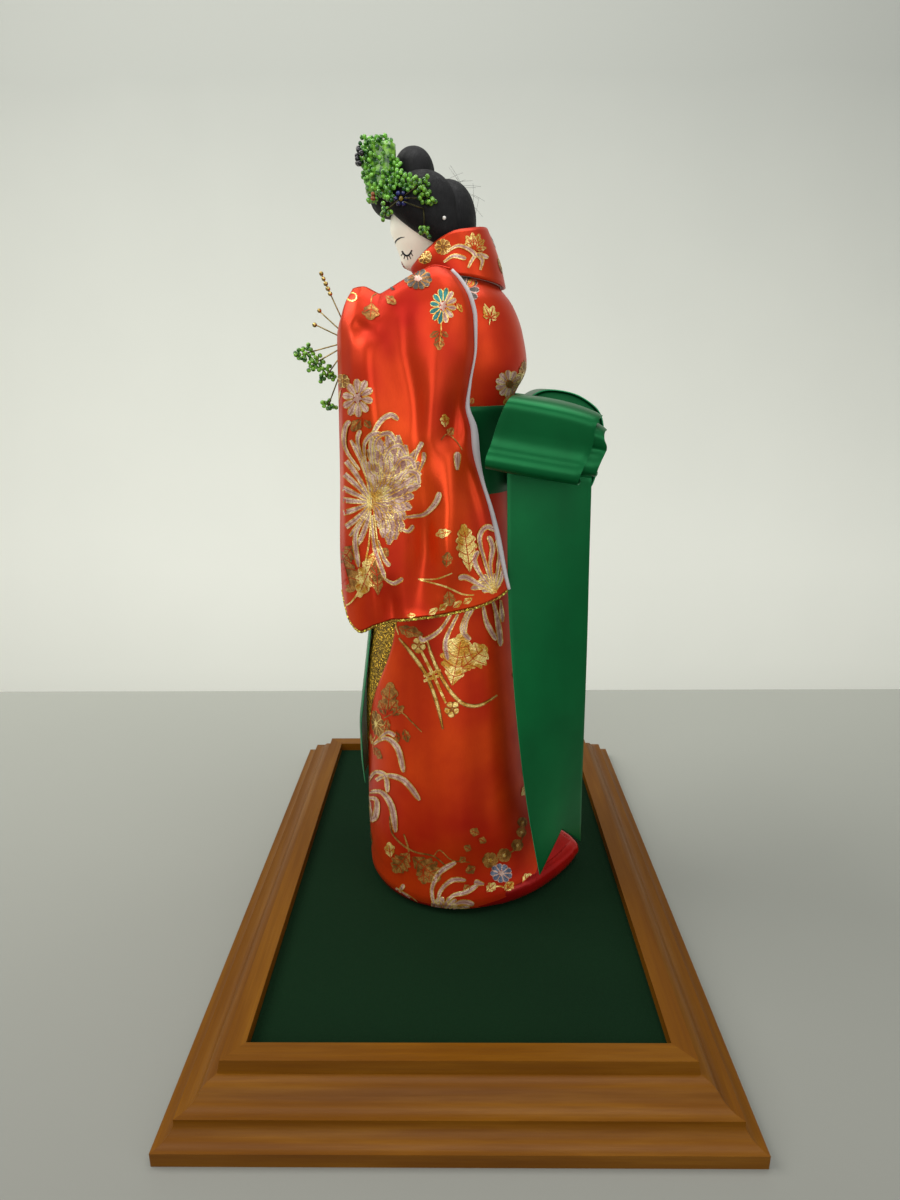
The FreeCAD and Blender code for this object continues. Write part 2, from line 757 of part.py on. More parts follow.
def sleeve(side, name):
    columns = crowded(SLEEVE_COLUMNS)
    rows = crowded(SLEEVE_ROWS)
    inner = mm("sleeve_inner_offset")
    outer_points = []
    inner_points = []
    for down in rows:
        places = [sleeve_point(across, down) for across in columns]
        outer_points.append([Vector(side * sleeve_face(across, down), y, z) for across, (y, z) in zip(columns, places)])
        inner_points.append([Vector(side * inner, y, z) for y, z in places])
    faces = []
    for upper, lower in zip(outer_points, outer_points[1:]):
        for index in range(SLEEVE_COLUMNS):
            faces.append(facet(upper[index], upper[index + 1], lower[index + 1]))
            faces.append(facet(upper[index], lower[index + 1], lower[index]))
    rim = []
    for grid in (outer_points, inner_points):
        loop = list(grid[0]) + [row[-1] for row in grid[1:]]
        loop += list(reversed(grid[-1][:-1])) + [row[0] for row in reversed(grid[1:-1])]
        rim.append(loop)
    faces.extend(joined(rim[1], rim[0]))
    faces.append(Part.Face(Part.makePolygon(list(reversed(rim[1])) + [rim[1][-1]])))
    body = solid_of(faces)
    hand_room = tube(hand_points(side), [mm("wrist_radius") * 1.6] * 3)
    shaped(f"{name}_sleeve", body.cut(arm_solid(side, mm("soft_gap"))).cut(hand_room))
    sleeve_edges(side, name, columns, rows)


def sleeve_edges(side, name, columns, rows):
    """The lining's flat piping along the back edge, and the gold cord under the lower one."""
    gap = mm("soft_gap")
    width = mm("piping_width")
    thick = mm("piping_thickness")
    left = mm("sleeve_inner_offset") + thick
    rings = []
    for down in rows:
        y, z = sleeve_point(1, down)
        rings.append([Vector(side * (left + x * thick), y + gap + out * width, z)
                      for x, out in ((0, 0), (0, 1), (1, 1), (1, 0))])
    shaped(f"{name}_sleeve_piping", capped(rings))
    radius = mm("sleeve_cord_diameter") / 2
    middle = mm("sleeve_inner_offset") + radius * 2
    edge = [Vector(0, *sleeve_point(across, 1)) for across in columns]
    route = []
    for index, point in enumerate(edge):
        along = (edge[min(index + 1, len(edge) - 1)] - edge[max(index - 1, 0)]).normalize()
        outward = Vector(0, along.z, -along.y)
        route.append(Vector(side * middle, point.y, point.z) + outward * (radius * 1.3 + gap))
    shaped(f"{name}_sleeve_cord", tube(route, [radius] * len(route), 6))


def arms():
    for side, name in ((1, "left"), (-1, "right")):
        shaped(f"{name}_arm", arm_solid(side, 0))
        palm = mm("wrist_radius")
        shaped(f"{name}_hand", tube(hand_points(side), [palm * 0.9, palm * 1.2, palm * 0.5], LIMB_SIDES, 0.8))
        sleeve(side, name)


# Obi, bow and ribbons

def obi_rows():
    half = mm("obi_ribbon_width") / 2
    return [row_at(skirt_rows(), waist_level() - half), torso_rows()[0], row_at(torso_rows(), waist_level() + half)]


def obi():
    rows = grown(obi_rows(), mm("soft_gap"))
    shaped("obi_band", hollow(rings_of(grown(rows, mm("obi_thickness"))), rings_of(rows)))


def bow_seat():
    """Where the bow meets the back of the obi."""
    return max(row[2] for row in obi_rows()) + mm("soft_gap") * 2 + mm("obi_thickness")


def drum():
    """The ribbon wrapped round the middle of the bow, and the pad inside it."""
    half = mm("obi_ribbon_width") / 2
    outline = [Vector(-half, bow_seat() + mm("drum_depth") * back, waist_level() + mm("drum_height") * up)
               for back, up in DRUM_SHARES]
    outline.reverse()
    normal = Vector(1, 0, 0)
    thick = mm("ribbon_thickness")
    gap = mm("soft_gap")
    shaped("obi_drum", banded(outline, thick, normal, Vector(half * 2, 0, 0)))
    rings = []
    for place, deeper in ((0.08, 2), (0.16, 0), (0.84, 0), (0.92, 2)):
        shrunk = inset(outline, thick * (1 + deeper) + gap, normal)
        rings.append([point + Vector(half * 2 * place, 0, 0) for point in shrunk])
    shaped("obi_pillow", capped(rings))


def loop_top():
    return waist_level() + mm("loop_rise")


def loop_point(x, z):
    """A place on the loops' front edges: they sweep forward round the body, and lean forward as they fall."""
    root = mm("obi_ribbon_width") / 2
    sweep = mm("loop_sweep") * (x - root) / (mm("loop_reach") - root)
    lean = (loop_top() - z) * LOOP_LEAN
    return Vector(x, bow_seat() + mm("loop_offset") - sweep - lean, z)


def loops():
    """Two nested folded loops of ribbon on each side, whose rear edges hang lower than the front ones."""
    gap = mm("soft_gap")
    thick = mm("ribbon_thickness")
    bend = mm("loop_bend_radius")
    heading = Vector(0, mm("obi_ribbon_width"), -mm("loop_drop"))
    top = loop_top()
    bottom = top - mm("loop_height")
    for label, inward, root in (("outer", 0, mm("obi_ribbon_width") / 2 + gap),
                                ("inner", mm("loop_spacing"), mm("obi_ribbon_width") / 2 + thick + gap * 2)):
        tip = mm("loop_reach") - inward
        high = top - inward
        low = bottom + inward
        outline = [(tip - bend * back, high - bend * down) for back, down in BEND_SHARES]
        outline += [(tip - bend * back, low + bend * down) for back, down in reversed(BEND_SHARES)]
        outline += [(root, low), (root, high)]
        points = [loop_point(x, z) for x, z in outline]
        normal = (points[1] - points[0]).cross(points[4] - points[0]).normalize()
        band = banded(points, thick, normal, heading)
        shaped(f"left_{label}_loop", band)
        shaped(f"right_{label}_loop", band.mirror(Vector(0, 0, 0), Vector(1, 0, 0)))


def tails():
    """The two hanging ends of the bow: ribbons that turn slowly to lie along the train, cut in a swallow tail."""
    width = mm("obi_ribbon_width")
    thick = mm("ribbon_thickness")
    start = loop_point(mm("tail_offset"), loop_top() - mm("loop_height") - mm("soft_gap"))
    length = start.z - felt_top() - mm("tail_foot_height")
    slope = -mm("loop_drop") / width
    centre_y = start.y + width * 0.55
    for side, name in ((1, "left"), (-1, "right")):
        rings = []
        for down, sideways, rearward, turn in TAIL_SHARES:
            across = Vector(-math.sin(math.radians(turn)), math.cos(math.radians(turn)), 0)
            middle = Vector(mm("tail_offset") + sideways * width, centre_y + rearward * width, start.z - down * length)
            ring_points = []
            for place in (-1, -0.5, 0, 0.5, 1):
                point = middle + across * (place * width / 2)
                # The top follows the loops, and the foot is cut in a swallow tail
                if down == 0:
                    point.z += slope * (point.y - start.y)
                if down == 1:
                    point.z += mm("tail_notch") * (1 - abs(place))
                ring_points.append(point)
            through = Vector(across.y, -across.x, 0) * (thick / 2)
            closed = [point - through for point in ring_points] + [point + through for point in reversed(ring_points)]
            rings.append([Vector(side * point.x, point.y, point.z) for point in closed])
        shaped(f"{name}_obi_tail", ribbon_solid(rings))


def ribbon_solid(rings):
    """A long flat ribbon through closed sections, each made of one run of points and the same run coming back."""
    faces = []
    for first, second in zip(rings, rings[1:]):
        faces.extend(joined(first, second))
    for end, forward in ((rings[0], False), (rings[-1], True)):
        count = len(end)
        for index in range(count // 2 - 1):
            quad = [end[index], end[index + 1], end[count - 2 - index], end[count - 1 - index]]
            if not forward:
                quad.reverse()
            faces.append(facet(quad[0], quad[1], quad[2]))
            faces.append(facet(quad[0], quad[2], quad[3]))
    return solid_of(faces)


def front_ribbon():
    """The narrow ribbon that hangs from the obi in front and bows away from the skirt."""
    half = mm("front_ribbon_width") / 2
    thick = mm("ribbon_thickness")
    top = obi_rows()[0][0] - mm("soft_gap")
    length = top - felt_top() - mm("front_ribbon_foot_height")
    rings = []
    for down, out in FRONT_RIBBON_SHARES:
        y = -mm("skirt_front") * out
        z = top - length * down
        rings.append([Vector(x, y - depth, z) for x, depth in ((-half, 0), (half, 0), (half, thick), (-half, thick))])
    shaped("front_ribbon", ribbon_solid(rings))


# Collar and lapels

def collar():
    """The stand-up collar: a band that wraps the neck and rises to the nape, over a thin under collar."""
    gap = mm("soft_gap")
    thick = mm("collar_thickness")
    under = mm("under_collar_thickness")
    foot_level = torso_rows()[-2][0]
    front = math.radians(-COLLAR_FRONT_ANGLE)
    sweep = math.pi - front * 2
    layers = (
        ("kimono_collar", 0, thick, 0),
        ("under_collar", thick + gap * 1.6, thick + gap * 1.6 + under, mm("under_collar_show")),
    )
    for label, outer, inner, show in layers:
        rings = []
        for step in range(COLLAR_STEPS + 1):
            turn = front + sweep * step / COLLAR_STEPS
            rise, foot = between(COLLAR_SHARES, math.sin(turn))
            low = foot_level + mm("collar_height") * foot
            high = foot_level + mm("collar_height") * rise + show
            seat = row_at(torso_rows(), low)
            corners = []
            for inward, level in ((outer, low), (outer, high), (inner, high), (inner, low)):
                if level == low:
                    # The foot rests on the shoulders
                    depth = seat[2] if math.sin(turn) > 0 else seat[1]
                    out = thick + under + gap * 2.6 - inward
                    corners.append(Vector((seat[3] + out) * math.cos(turn), (depth + out) * math.sin(turn), low))
                else:
                    corners.append(Vector((mm("collar_half_width") - inward) * math.cos(turn), mm("collar_offset")
                                          + (mm("collar_half_depth") - inward) * math.sin(turn), high))
            rings.append(corners)
        shaped(label, capped(rings))


def chest_point(middle, aside, level, outward):
    """A place on the front of the upper body: its distance round the body from a given X, and out from it."""
    height, front, back, half, taper = row_at(torso_rows(), level)
    turn = math.asin(middle / half) + aside * 2 / (front + half)
    return Vector((half + outward) * math.sin(turn), -(front + outward) * math.cos(turn), level)


def lapels():
    """The two front bands that cross on the chest, the left one on top."""
    gap = mm("soft_gap")
    thick = mm("lapel_thickness")
    width = mm("lapel_width")
    top = torso_rows()[-2][0] - gap
    low = obi_rows()[-1][0] + gap
    # The bands bend where the body's outline does
    levels = {top + (low - top) * step / LAPEL_STEPS for step in range(LAPEL_STEPS + 1)}
    levels |= {row[0] for row in torso_rows() if low < row[0] < top}
    for label, side, over in (("right_lapel", -1, 0), ("left_lapel", 1, thick + gap)):
        rings = []
        for level in sorted(levels, reverse=True):
            share = (top - level) / (top - low)
            middle = side * (width * 1.35 - width * 1.75 * share)
            near = gap * 1.6 + over * min(1.0, share * 2)
            run = [width * (place / 6 - 0.5) for place in range(7)]
            closed = [chest_point(middle, aside, level, near) for aside in run]
            closed += [chest_point(middle, aside, level, near + thick) for aside in reversed(run)]
            rings.append(closed)
        shaped(label, ribbon_solid(rings))


# Head and hair

def stacked(rows, sides=HAIR_SIDES):
    """A faceted solid through ellipses of (height, centre x, centre y, half width, half depth)."""
    rings = []
    for height, centre_x, centre_y, half_width, half_depth in rows:
        points = []
        for index in range(sides):
            turn = 2 * math.pi * (index + 0.5) / sides
            points.append(Vector(centre_x + half_width * math.cos(turn), centre_y + half_depth * math.sin(turn), height))
        rings.append(points)
    return capped(rings)


class Wad:
    """A rounded wad of hair: its middle and its half sizes."""

    def __init__(self, middle, half_width, half_depth, half_height):
        self.middle = middle
        self.half_width = half_width
        self.half_depth = half_depth
        self.half_height = half_height

    def solid(self):
        foot = self.middle.z - self.half_height
        return stacked([(foot + self.half_height * 2 * up, self.middle.x, self.middle.y, self.half_width * out,
                         self.half_depth * out) for up, out in WAD_SHARES])

    def fullness(self, level):
        share = (level - self.middle.z) / (self.half_height * 2) + 0.5
        return between(WAD_SHARES, share)[0] if 0 < share < 1 else 0

    def reaches(self, point, margin):
        """Whether the wad comes nearer to the point than the margin."""
        full = max(self.fullness(point.z + shift * margin) for shift in (-1, 0, 1))
        if full == 0:
            return False
        x = (point.x - self.middle.x) / (self.half_width * full + margin)
        y = (point.y - self.middle.y) / (self.half_depth * full + margin)
        return x * x + y * y < 1

    def side_face(self, y, level):
        """How far out to the left the wad's surface is, at a place seen from the side."""
        full = max(self.fullness(level), WAD_SHARES[0][1])
        share = min(1.0, abs(y - self.middle.y) / (self.half_depth * full))
        return self.middle.x + self.half_width * full * math.sqrt(1 - share * share)


def head_middle():
    return Vector(0, mm("head_offset"), shoulder_level() + mm("neck_show") + mm("head_half_height"))


def head_solid(extra):
    middle = head_middle()
    return stacked([(middle.z + (mm("head_half_height") + extra) * up, 0, middle.y, (mm("head_half_width") + extra) * wide,
                     (mm("head_half_depth") + extra) * deep) for up, wide, deep in HEAD_SHARES])


def head():
    neck_foot = torso_rows()[-1][0] + mm("soft_gap")
    y = mm("neck_offset")
    radius = mm("neck_radius")
    neck_top = head_middle().z - mm("head_half_height") / 2
    neck = stacked([(neck_foot, 0, y, radius, radius), (neck_top, 0, y, radius, radius)])
    shaped("head", head_solid(0).fuse(neck).removeSplitter())
    peg_foot = Vector(0, y, neck_foot - mm("peg_length"))
    shaped("neck_peg", Part.makeCylinder(mm("peg_radius"), mm("peg_length"), peg_foot))


def wads():
    """The rolls and wings that the hair is dressed in, from the first laid to the last."""
    middle = head_middle()
    depth = mm("head_half_depth")
    wing = Vector(mm("wing_offset"), middle.y - depth * 0.11, middle.z + depth * 0.29)
    size_of_wing = (mm("wing_half_width"), mm("wing_half_depth"), mm("wing_half_height"))
    front_radius = mm("front_roll_radius")
    return {
        "hair_back_roll": Wad(middle + Vector(0, depth * 0.47, depth * 0.15), mm("back_roll_half_width"),
                              mm("back_roll_half_depth"), mm("back_roll_half_height")),
        "left_hair_wing": Wad(wing, *size_of_wing),
        "right_hair_wing": Wad(Vector(-wing.x, wing.y, wing.z), *size_of_wing),
        "hair_front_roll": Wad(middle + Vector(0, -depth * 0.98, depth * 0.77), mm("front_roll_half_width"),
                               front_radius, front_radius),
        "hair_top_knot": Wad(middle + Vector(0, -depth * 0.36, depth * 1.24), mm("knot_half_width"),
                             mm("knot_half_depth"), mm("knot_half_height")),
    }


def hair():
    """The hair on the head, laid wad by wad, each cut by what it lies on."""
    middle = head_middle()
    depth = mm("head_half_depth")
    gap = mm("hair_gap")
    wide = mm("head_half_width") * 4
    # The hairline slopes from the forehead down to the nape and leaves the face free
    outline = [(-4, 0.20), (-1.02, 0.20), (-0.25, -0.58), (0.5, -0.74), (4, -0.74), (4, -4), (-4, -4)]
    face_room = prism([middle + Vector(-wide / 2, depth * y, depth * z) for y, z in outline], Vector(wide, 0, 0))
    scalp = head_solid(gap)
    cap = head_solid(mm("cap_thickness")).cut(scalp).cut(face_room)
    shaped("hair_cap", largest(cap))
    under = head_solid(mm("cap_thickness") + gap)
    laid = []
    for label, wad in wads().items():
        piece = wad.solid().cut(under.cut(face_room)).cut(scalp).cut(face_room)
        for lower in laid:
            piece = piece.cut(lower)
        piece = largest(piece)
        shaped(label, piece)
        # Neighbours keep a hair's breadth from this wad
        laid.append(Wad(wad.middle, wad.half_width + gap, wad.half_depth + gap, wad.half_height + gap).solid())


def largest(shape):
    """The main solid of a cut, without the crumbs that a cut can leave."""
    return max(shape.Solids, key=lambda solid: solid.Volume)


# Beadwork

def bead(centre, diameter, turn=0):
    """A glass bead as a plain eight-sided solid."""
    reach = diameter / 2
    around = []
    for quarter in range(4):
        angle = turn + math.pi * quarter / 2
        around.append(centre + Vector(math.cos(angle), math.sin(angle), 0) * reach)
    top = centre + Vector(0, 0, reach)
    bottom = centre - Vector(0, 0, reach)
    faces = []
    for index, first in enumerate(around):
        second = around[(index + 1) % 4]
        faces.append(facet(first, second, top))
        faces.append(facet(second, first, bottom))
    return solid_of(faces)


def sprig(points, pairs, bead_size, wire_size):
    """A stiff wire with pairs of leaf beads along it and one at its tip."""
    first, last = points[0], points[-1]
    heading = (last - first).normalize()
    sideways = heading.cross(Vector(1, 0, 0)).normalize()
    apart = (bead_size + wire_size) / 2 + mm("bead_gap")
    step = bead_size + mm("bead_gap")
    beads = [bead(last + heading * (bead_size / 2 + mm("bead_gap")), bead_size)]
    for pair in range(pairs):
        place = last - heading * step * (pair + 0.4)
        for side in (1, -1):
            beads.append(bead(place + sideways * apart * side, bead_size))
    return tube(points, [wire_size / 2] * len(points), 4), beads


def crown_centre():
    return head_middle() + Vector(mm("crown_offset"), -mm("head_half_depth") * 1.14, mm("head_half_depth") * 1.29)


def crown():
    """The bead crown on the left front of the hair: rows of beads round a wired pad."""
    centre = crown_centre()
    height = mm("crown_height")
    half_x = mm("crown_half_width")
    half_y = mm("crown_half_depth")
    bead_size = mm("bead_diameter")
    gap = mm("bead_gap")
    bottom = centre.z - height / 2
    inward = bead_size + gap
    top = bottom + height - inward
    hair_wads = list(wads().values())
    pad = stacked([(level, centre.x, centre.y, half_x - inward, half_y - inward) for level in (bottom, top)], 12)
    for wad in hair_wads:
        pad = pad.cut(Wad(wad.middle, wad.half_width + gap, wad.half_depth + gap, wad.half_height + gap).solid())
    shaped("crown_pad", largest(pad))
    places = []
    pitch = (height - bead_size) / (CROWN_ROWS - 1)
    # Rings of beads round the pad, then smaller rings over its top
    rings = [(bottom + bead_size / 2 + pitch * row, 0) for row in range(CROWN_ROWS)]
    level = bottom + height - bead_size / 2
    rings += [(level, step) for step in range(1, int(half_x / bead_size))]
    for number, (height_here, inner) in enumerate(rings):
        reach_x = half_x - bead_size / 2 - inner * (bead_size + gap)
        reach_y = half_y - bead_size / 2 - inner * (bead_size + gap)
        count = max(1, int(math.pi * (reach_x + reach_y) / ((bead_size + gap) * 1.04)))
        for index in range(count):
            turn = 2 * math.pi * (index + 0.5 * (number % 2)) / count
            places.append((centre.x + reach_x * math.cos(turn), centre.y + reach_y * math.sin(turn), height_here, turn))
    kept = []
    margin = bead_size / 2 + gap
    for x, y, z, turn in places:
        place = Vector(x, y, z)
        if not any(wad.reaches(place, margin) for wad in hair_wads):
            kept.append(bead(place, bead_size, turn))
    shaped("crown_beads", Part.makeCompound(kept))


def on_wing(y, z):
    """A place for a bead against the left wing of the hair, given where it is seen from the side."""
    wing = wads()["left_hair_wing"]
    reach = mm("bead_diameter") / 2
    touched = [wing.side_face(y, z) + reach]
    for aside, up in ((reach, 0), (-reach, 0), (0, reach), (0, -reach)):
        touched.append(wing.side_face(y + aside, z + up))
    return Vector(max(touched) + mm("bead_gap") * 2, y, z)


def flower_places():
    """The beads of the flower: its middle, then the six round it, all as far out as the furthest has to be."""
    step = (mm("bead_diameter") + mm("bead_gap")) * 1.05
    middle = flower_middle()
    turns = [math.pi * index / 3 for index in range(6)]
    places = [middle] + [on_wing(middle.y + step * math.cos(turn), middle.z + step * math.sin(turn)) for turn in turns]
    out = max(place.x for place in places)
    return [Vector(out, place.y, place.z) for place in places]


def ornaments():
    """The bead flower, sprigs and pin on the left wing of the hair."""
    bead_size = mm("bead_diameter")
    step = bead_size + mm("bead_gap")
    places = flower_places()
    middle = places[0]
    shaped("flower_beads", Part.makeCompound([bead(place, bead_size) for place in places]))
    out = dangle_hinge().x
    wires = []
    beads = []
    # Their wires are tied over the flower and lie along the wing
    tied = middle + Vector((bead_size + mm("wire_diameter")) / 2 + mm("bead_gap"), 0, 0)
    for along, up, pairs in ((-3.3, -2.6, 1), (4.4, 2.6, 2), (5.6, -0.2, 2)):
        first = tied + Vector(0, along, up) * (step * 0.15)
        last = Vector(out, middle.y + step * along, middle.z + step * up)
        wire, leaf_beads = sprig([first, last], pairs, bead_size, mm("wire_diameter"))
        wires.append(wire)
        beads.extend(leaf_beads)
    # The hook that the dangling sprig's eye hangs on
    thin = mm("wire_diameter") / 2
    hook = dangle_hinge() - Vector(bead_size / 2, 0, 0)
    pin = Part.makeCylinder(thin, bead_size, hook, Vector(1, 0, 0))
    stem = tube([tied + Vector(0, step * 0.6, -step * 0.6), hook + Vector(thin, 0, 0)], [thin] * 2, 4)
    wires.append(pin.fuse(stem))
    shaped("sprig_wires", Part.makeCompound(wires))
    shaped("sprig_beads", Part.makeCompound(beads))
    shaped("hairpin", bead(on_wing(middle.y + step * 8.4, middle.z - step * 3.4), bead_size))


def flower_middle():
    step = mm("bead_diameter") + mm("bead_gap")
    centre = crown_centre()
    return on_wing(centre.y + step * 4.2, centre.z - mm("crown_height") / 2 - step * 1.3)


def dangle_hinge():
    step = mm("bead_diameter") + mm("bead_gap")
    middle = flower_middle()
    widest = wads()["left_hair_wing"]
    out = widest.middle.x + widest.half_width + mm("bead_diameter") / 2 + mm("bead_gap") * 2
    return Vector(out, middle.y + step * 4.4, middle.z - step * 2.1)


def dangle():
    """The sprig that hangs from its eye and swings along the hair."""
    hinge = dangle_hinge()
    bead_size = mm("bead_diameter")
    step = bead_size + mm("bead_gap")
    length = mm("dangle_length")
    low = hinge - Vector(0, 0, length)
    thin = mm("wire_diameter") / 2
    inner = thin + mm("bead_gap")
    side = hinge - Vector(thin, 0, 0)
    eye = Part.makeCylinder(inner + thin * 2, thin * 2, side, Vector(1, 0, 0))
    eye = eye.cut(Part.makeCylinder(inner, thin * 2, side, Vector(1, 0, 0)))
    stem = tube([hinge - Vector(0, 0, inner + thin), low + Vector(0, 0, step * 2)], [thin] * 2, 4)
    shaped("dangle_wire", eye.fuse(stem))
    beads = [bead(low + Vector(0, 0, step * 1.4), bead_size)]
    for side in (1, -1):
        beads.append(bead(low + Vector(0, side * step * 0.6, step * 0.5), bead_size))
    shaped("dangle_beads", Part.makeCompound(beads))


def spray():
    """The bead spray in the left hand: wire stems, gold beads and green leaf beads."""
    hand = hand_points(1)
    inward = (hand[-1] - hand[0]).normalize()
    grip = hand[-1] + inward * mm("soft_gap")
    reach = mm("spray_reach")
    height = mm("spray_height")
    bead_size = mm("bead_diameter")
    thin = mm("wire_diameter")
    step = bead_size + mm("bead_gap")
    wires = []
    gold = []
    leaves = []
    for forward, up, pairs in SPRIG_SHARES:
        tip = grip + Vector(0, -reach * forward, height * up)
        wire, beads = sprig([grip + (tip - grip) * 0.08, tip], pairs, bead_size, thin)
        wires.append(wire)
        leaves.extend(beads)
    for forward, up, count in PIN_SHARES:
        tip = grip + Vector(0, -reach * forward, height * up)
        wires.append(tube([grip + (tip - grip) * 0.08, tip], [thin / 2] * 2, 4))
        heading = (tip - grip).normalize()
        aside = Vector((bead_size + thin) / 2 + mm("bead_gap"), 0, 0)
        for index in range(count):
            gold.append(bead(tip - heading * step * index + aside, bead_size))
    shaped("spray_stems", Part.makeCompound(wires))
    shaped("spray_gold_beads", Part.makeCompound(gold))
    shaped("spray_leaf_beads", Part.makeCompound(leaves))


def check_and_write():
    doc.recompute()
    for item in doc.Objects:
        if "Invalid" in item.State or "Error" in item.State:
            raise RuntimeError(f"{item.Label} failed: {item.State}")
    os.makedirs("parts", exist_ok=True)
    for piece in pieces:
        shape = piece.Shape
        if shape.isNull() or not shape.isValid() or shape.Volume <= 0:
            raise RuntimeError(f"{piece.Label} has no valid solid")
    for piece in pieces:
        piece.Shape.exportStep(f"parts/{piece.Label}.step")
        print(f"{piece.Label}: {len(piece.Shape.Solids)} solids, {piece.Shape.Volume:.1f} mm3")


display_base()
corner_blocks()
stand()
skirt()
upper_body()
arms()
obi()
drum()
loops()
tails()
front_ribbon()
collar()
lapels()
head()
hair()
crown()
ornaments()
dangle()
spray()
check_and_write()
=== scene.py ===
import math
import random

import bpy
from mathutils import Matrix, Vector
from mathutils.bvhtree import BVHTree


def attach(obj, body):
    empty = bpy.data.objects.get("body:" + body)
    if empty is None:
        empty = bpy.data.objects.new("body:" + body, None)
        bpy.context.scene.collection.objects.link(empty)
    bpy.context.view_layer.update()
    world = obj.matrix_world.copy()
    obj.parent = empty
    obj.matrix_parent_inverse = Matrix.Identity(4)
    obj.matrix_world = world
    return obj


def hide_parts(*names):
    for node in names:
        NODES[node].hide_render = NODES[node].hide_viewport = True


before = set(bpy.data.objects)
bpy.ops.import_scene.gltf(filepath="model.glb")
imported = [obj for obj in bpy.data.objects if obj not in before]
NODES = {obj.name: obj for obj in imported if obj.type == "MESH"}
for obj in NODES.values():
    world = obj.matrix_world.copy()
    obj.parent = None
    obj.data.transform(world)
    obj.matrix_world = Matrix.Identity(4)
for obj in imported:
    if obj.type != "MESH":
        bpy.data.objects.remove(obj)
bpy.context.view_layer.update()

# A standing kimono doll on a moulded wooden base. Sizes below are millimetres in the frame's axes,
# and every mesh is written in metres. The doll faces -Y, and the camera looks at its left side.

random.seed(7)
MM = 0.001
SIDES = ((1, "left"), (-1, "right"))

# Sizes that the part's solids have
FELT_TOP = 22.2
WAIST = 262.2
SHOULDER = 340.2
SKIRT_FRONT, SKIRT_TRAIN, SKIRT_HALF = 51.0, 71.0, 50.0
TORSO_FRONT, TORSO_BACK, TORSO_HALF = 31.0, 34.6, 36.0
HEM_HEIGHT = 13.0
RIBBON = 40.0
FRONT_RIBBON, FRONT_RIBBON_FOOT = 24.0, 79.0
BOW_SEAT = 29.5
LOOP_TOP, LOOP_HEIGHT, LOOP_REACH = WAIST + 25.0, 30.0, 57.5
TAIL_TOP, TAIL_FOOT, TAIL_MIDDLE = LOOP_TOP - 30.3, 42.9, 30.0
RIBBON_DROP = 7.4
COLLAR_FOOT, COLLAR_RISE = WAIST + 0.936 * (SHOULDER - WAIST), 25.3
LAPEL = 13.0
SLEEVE_INNER, SLEEVE_THICK = 38.5, 19.0
SLEEVE_FRONT, SLEEVE_BACK, SLEEVE_LENGTH = 54.0, 24.0, 147.0
ARM_REACH, ARM_LEVEL = 46.0, SHOULDER - 17.0
HEAD_MIDDLE = Vector((0.0, -12.0, 361.2))
BACK_ROLL = Vector((0, -3.5, 363.9))
CROWN = Vector((12.5, -33.2, 0.0))
BEAD = 2.1

# Body sections by share of height: front, back and half width, each as a share, and how the back narrows
SKIRT_SHARES = [
    (0.000, 0.98, 0.90, 0.99, 1.8),
    (0.044, 1.00, 0.79, 0.98, 1.6),
    (0.132, 1.00, 0.65, 0.95, 1.3),
    (0.264, 0.99, 0.56, 0.91, 1.1),
    (0.418, 0.95, 0.51, 0.86, 1.0),
    (0.559, 0.87, 0.47, 0.80, 1.0),
    (0.727, 0.77, 0.425, 0.745, 1.0),
    (0.903, 0.66, 0.390, 0.71, 1.0),
    (1.000, 0.61, 0.385, 0.69, 1.0),
]
HEM_SHARES = [(0.00, 0.86, 0.90, 0.90, 1.8), (0.25, 0.95, 0.97, 0.97, 1.8), (0.60, 1.00, 1.00, 1.00, 1.8),
              (1.00, 0.98, 0.90, 0.99, 1.8)]
TORSO_SHARES = [
    (0.000, 1.00, 0.790, 0.958, 1.0),
    (0.256, 0.98, 0.800, 0.958, 1.0),
    (0.490, 0.94, 1.000, 0.986, 1.0),
    (0.680, 0.86, 0.930, 1.000, 1.0),
    (0.833, 0.75, 0.790, 0.944, 1.0),
    (0.936, 0.63, 0.600, 0.750, 1.0),
    (1.000, 0.52, 0.480, 0.520, 1.0),
]
# The sleeve's outline: its back and front edges by share down, its top and foot by share across
SLEEVE_BACK_SHARES = [
    (0.00, -0.08), (0.03, 0.08), (0.08, 0.25), (0.14, 0.33), (0.22, 0.34), (0.33, 0.24), (0.40, 0.19),
    (0.47, 0.30), (0.54, 0.34), (0.63, 0.46), (0.73, 0.64), (0.83, 0.78), (0.93, 0.90), (1.00, 1.00),
]
SLEEVE_FRONT_SHARES = [
    (0.00, 0.83), (0.05, 0.90), (0.12, 0.94), (0.30, 0.95), (0.60, 0.97), (0.90, 1.00), (1.00, 1.00),
]
SLEEVE_TOP_SHARES = [
    (0.00, 0.09), (0.04, 0.062), (0.14, 0.058), (0.24, 0.070), (0.30, 0.078), (0.38, 0.068), (0.52, 0.045),
    (0.72, 0.016), (0.86, 0.006), (1.00, 0.014),
]
SLEEVE_FOOT_SHARES = [
    (0.00, 0.955), (0.02, 1.00), (0.06, 1.048), (0.12, 1.070), (0.22, 1.045), (0.36, 1.030), (0.54, 1.018),
    (0.72, 1.002), (0.86, 0.985), (1.00, 0.958),
]
SLEEVE_FULLNESS_SHARES = [(0.00, 0.30), (0.03, 0.52), (0.10, 0.74), (0.25, 0.86), (0.60, 0.94), (1.00, 1.00)]
SLEEVE_ACROSS_SHARES = [
    (0.00, 0.22), (0.05, 0.62), (0.15, 0.90), (0.45, 1.00), (0.80, 0.86), (0.94, 0.60), (1.00, 0.30),
]
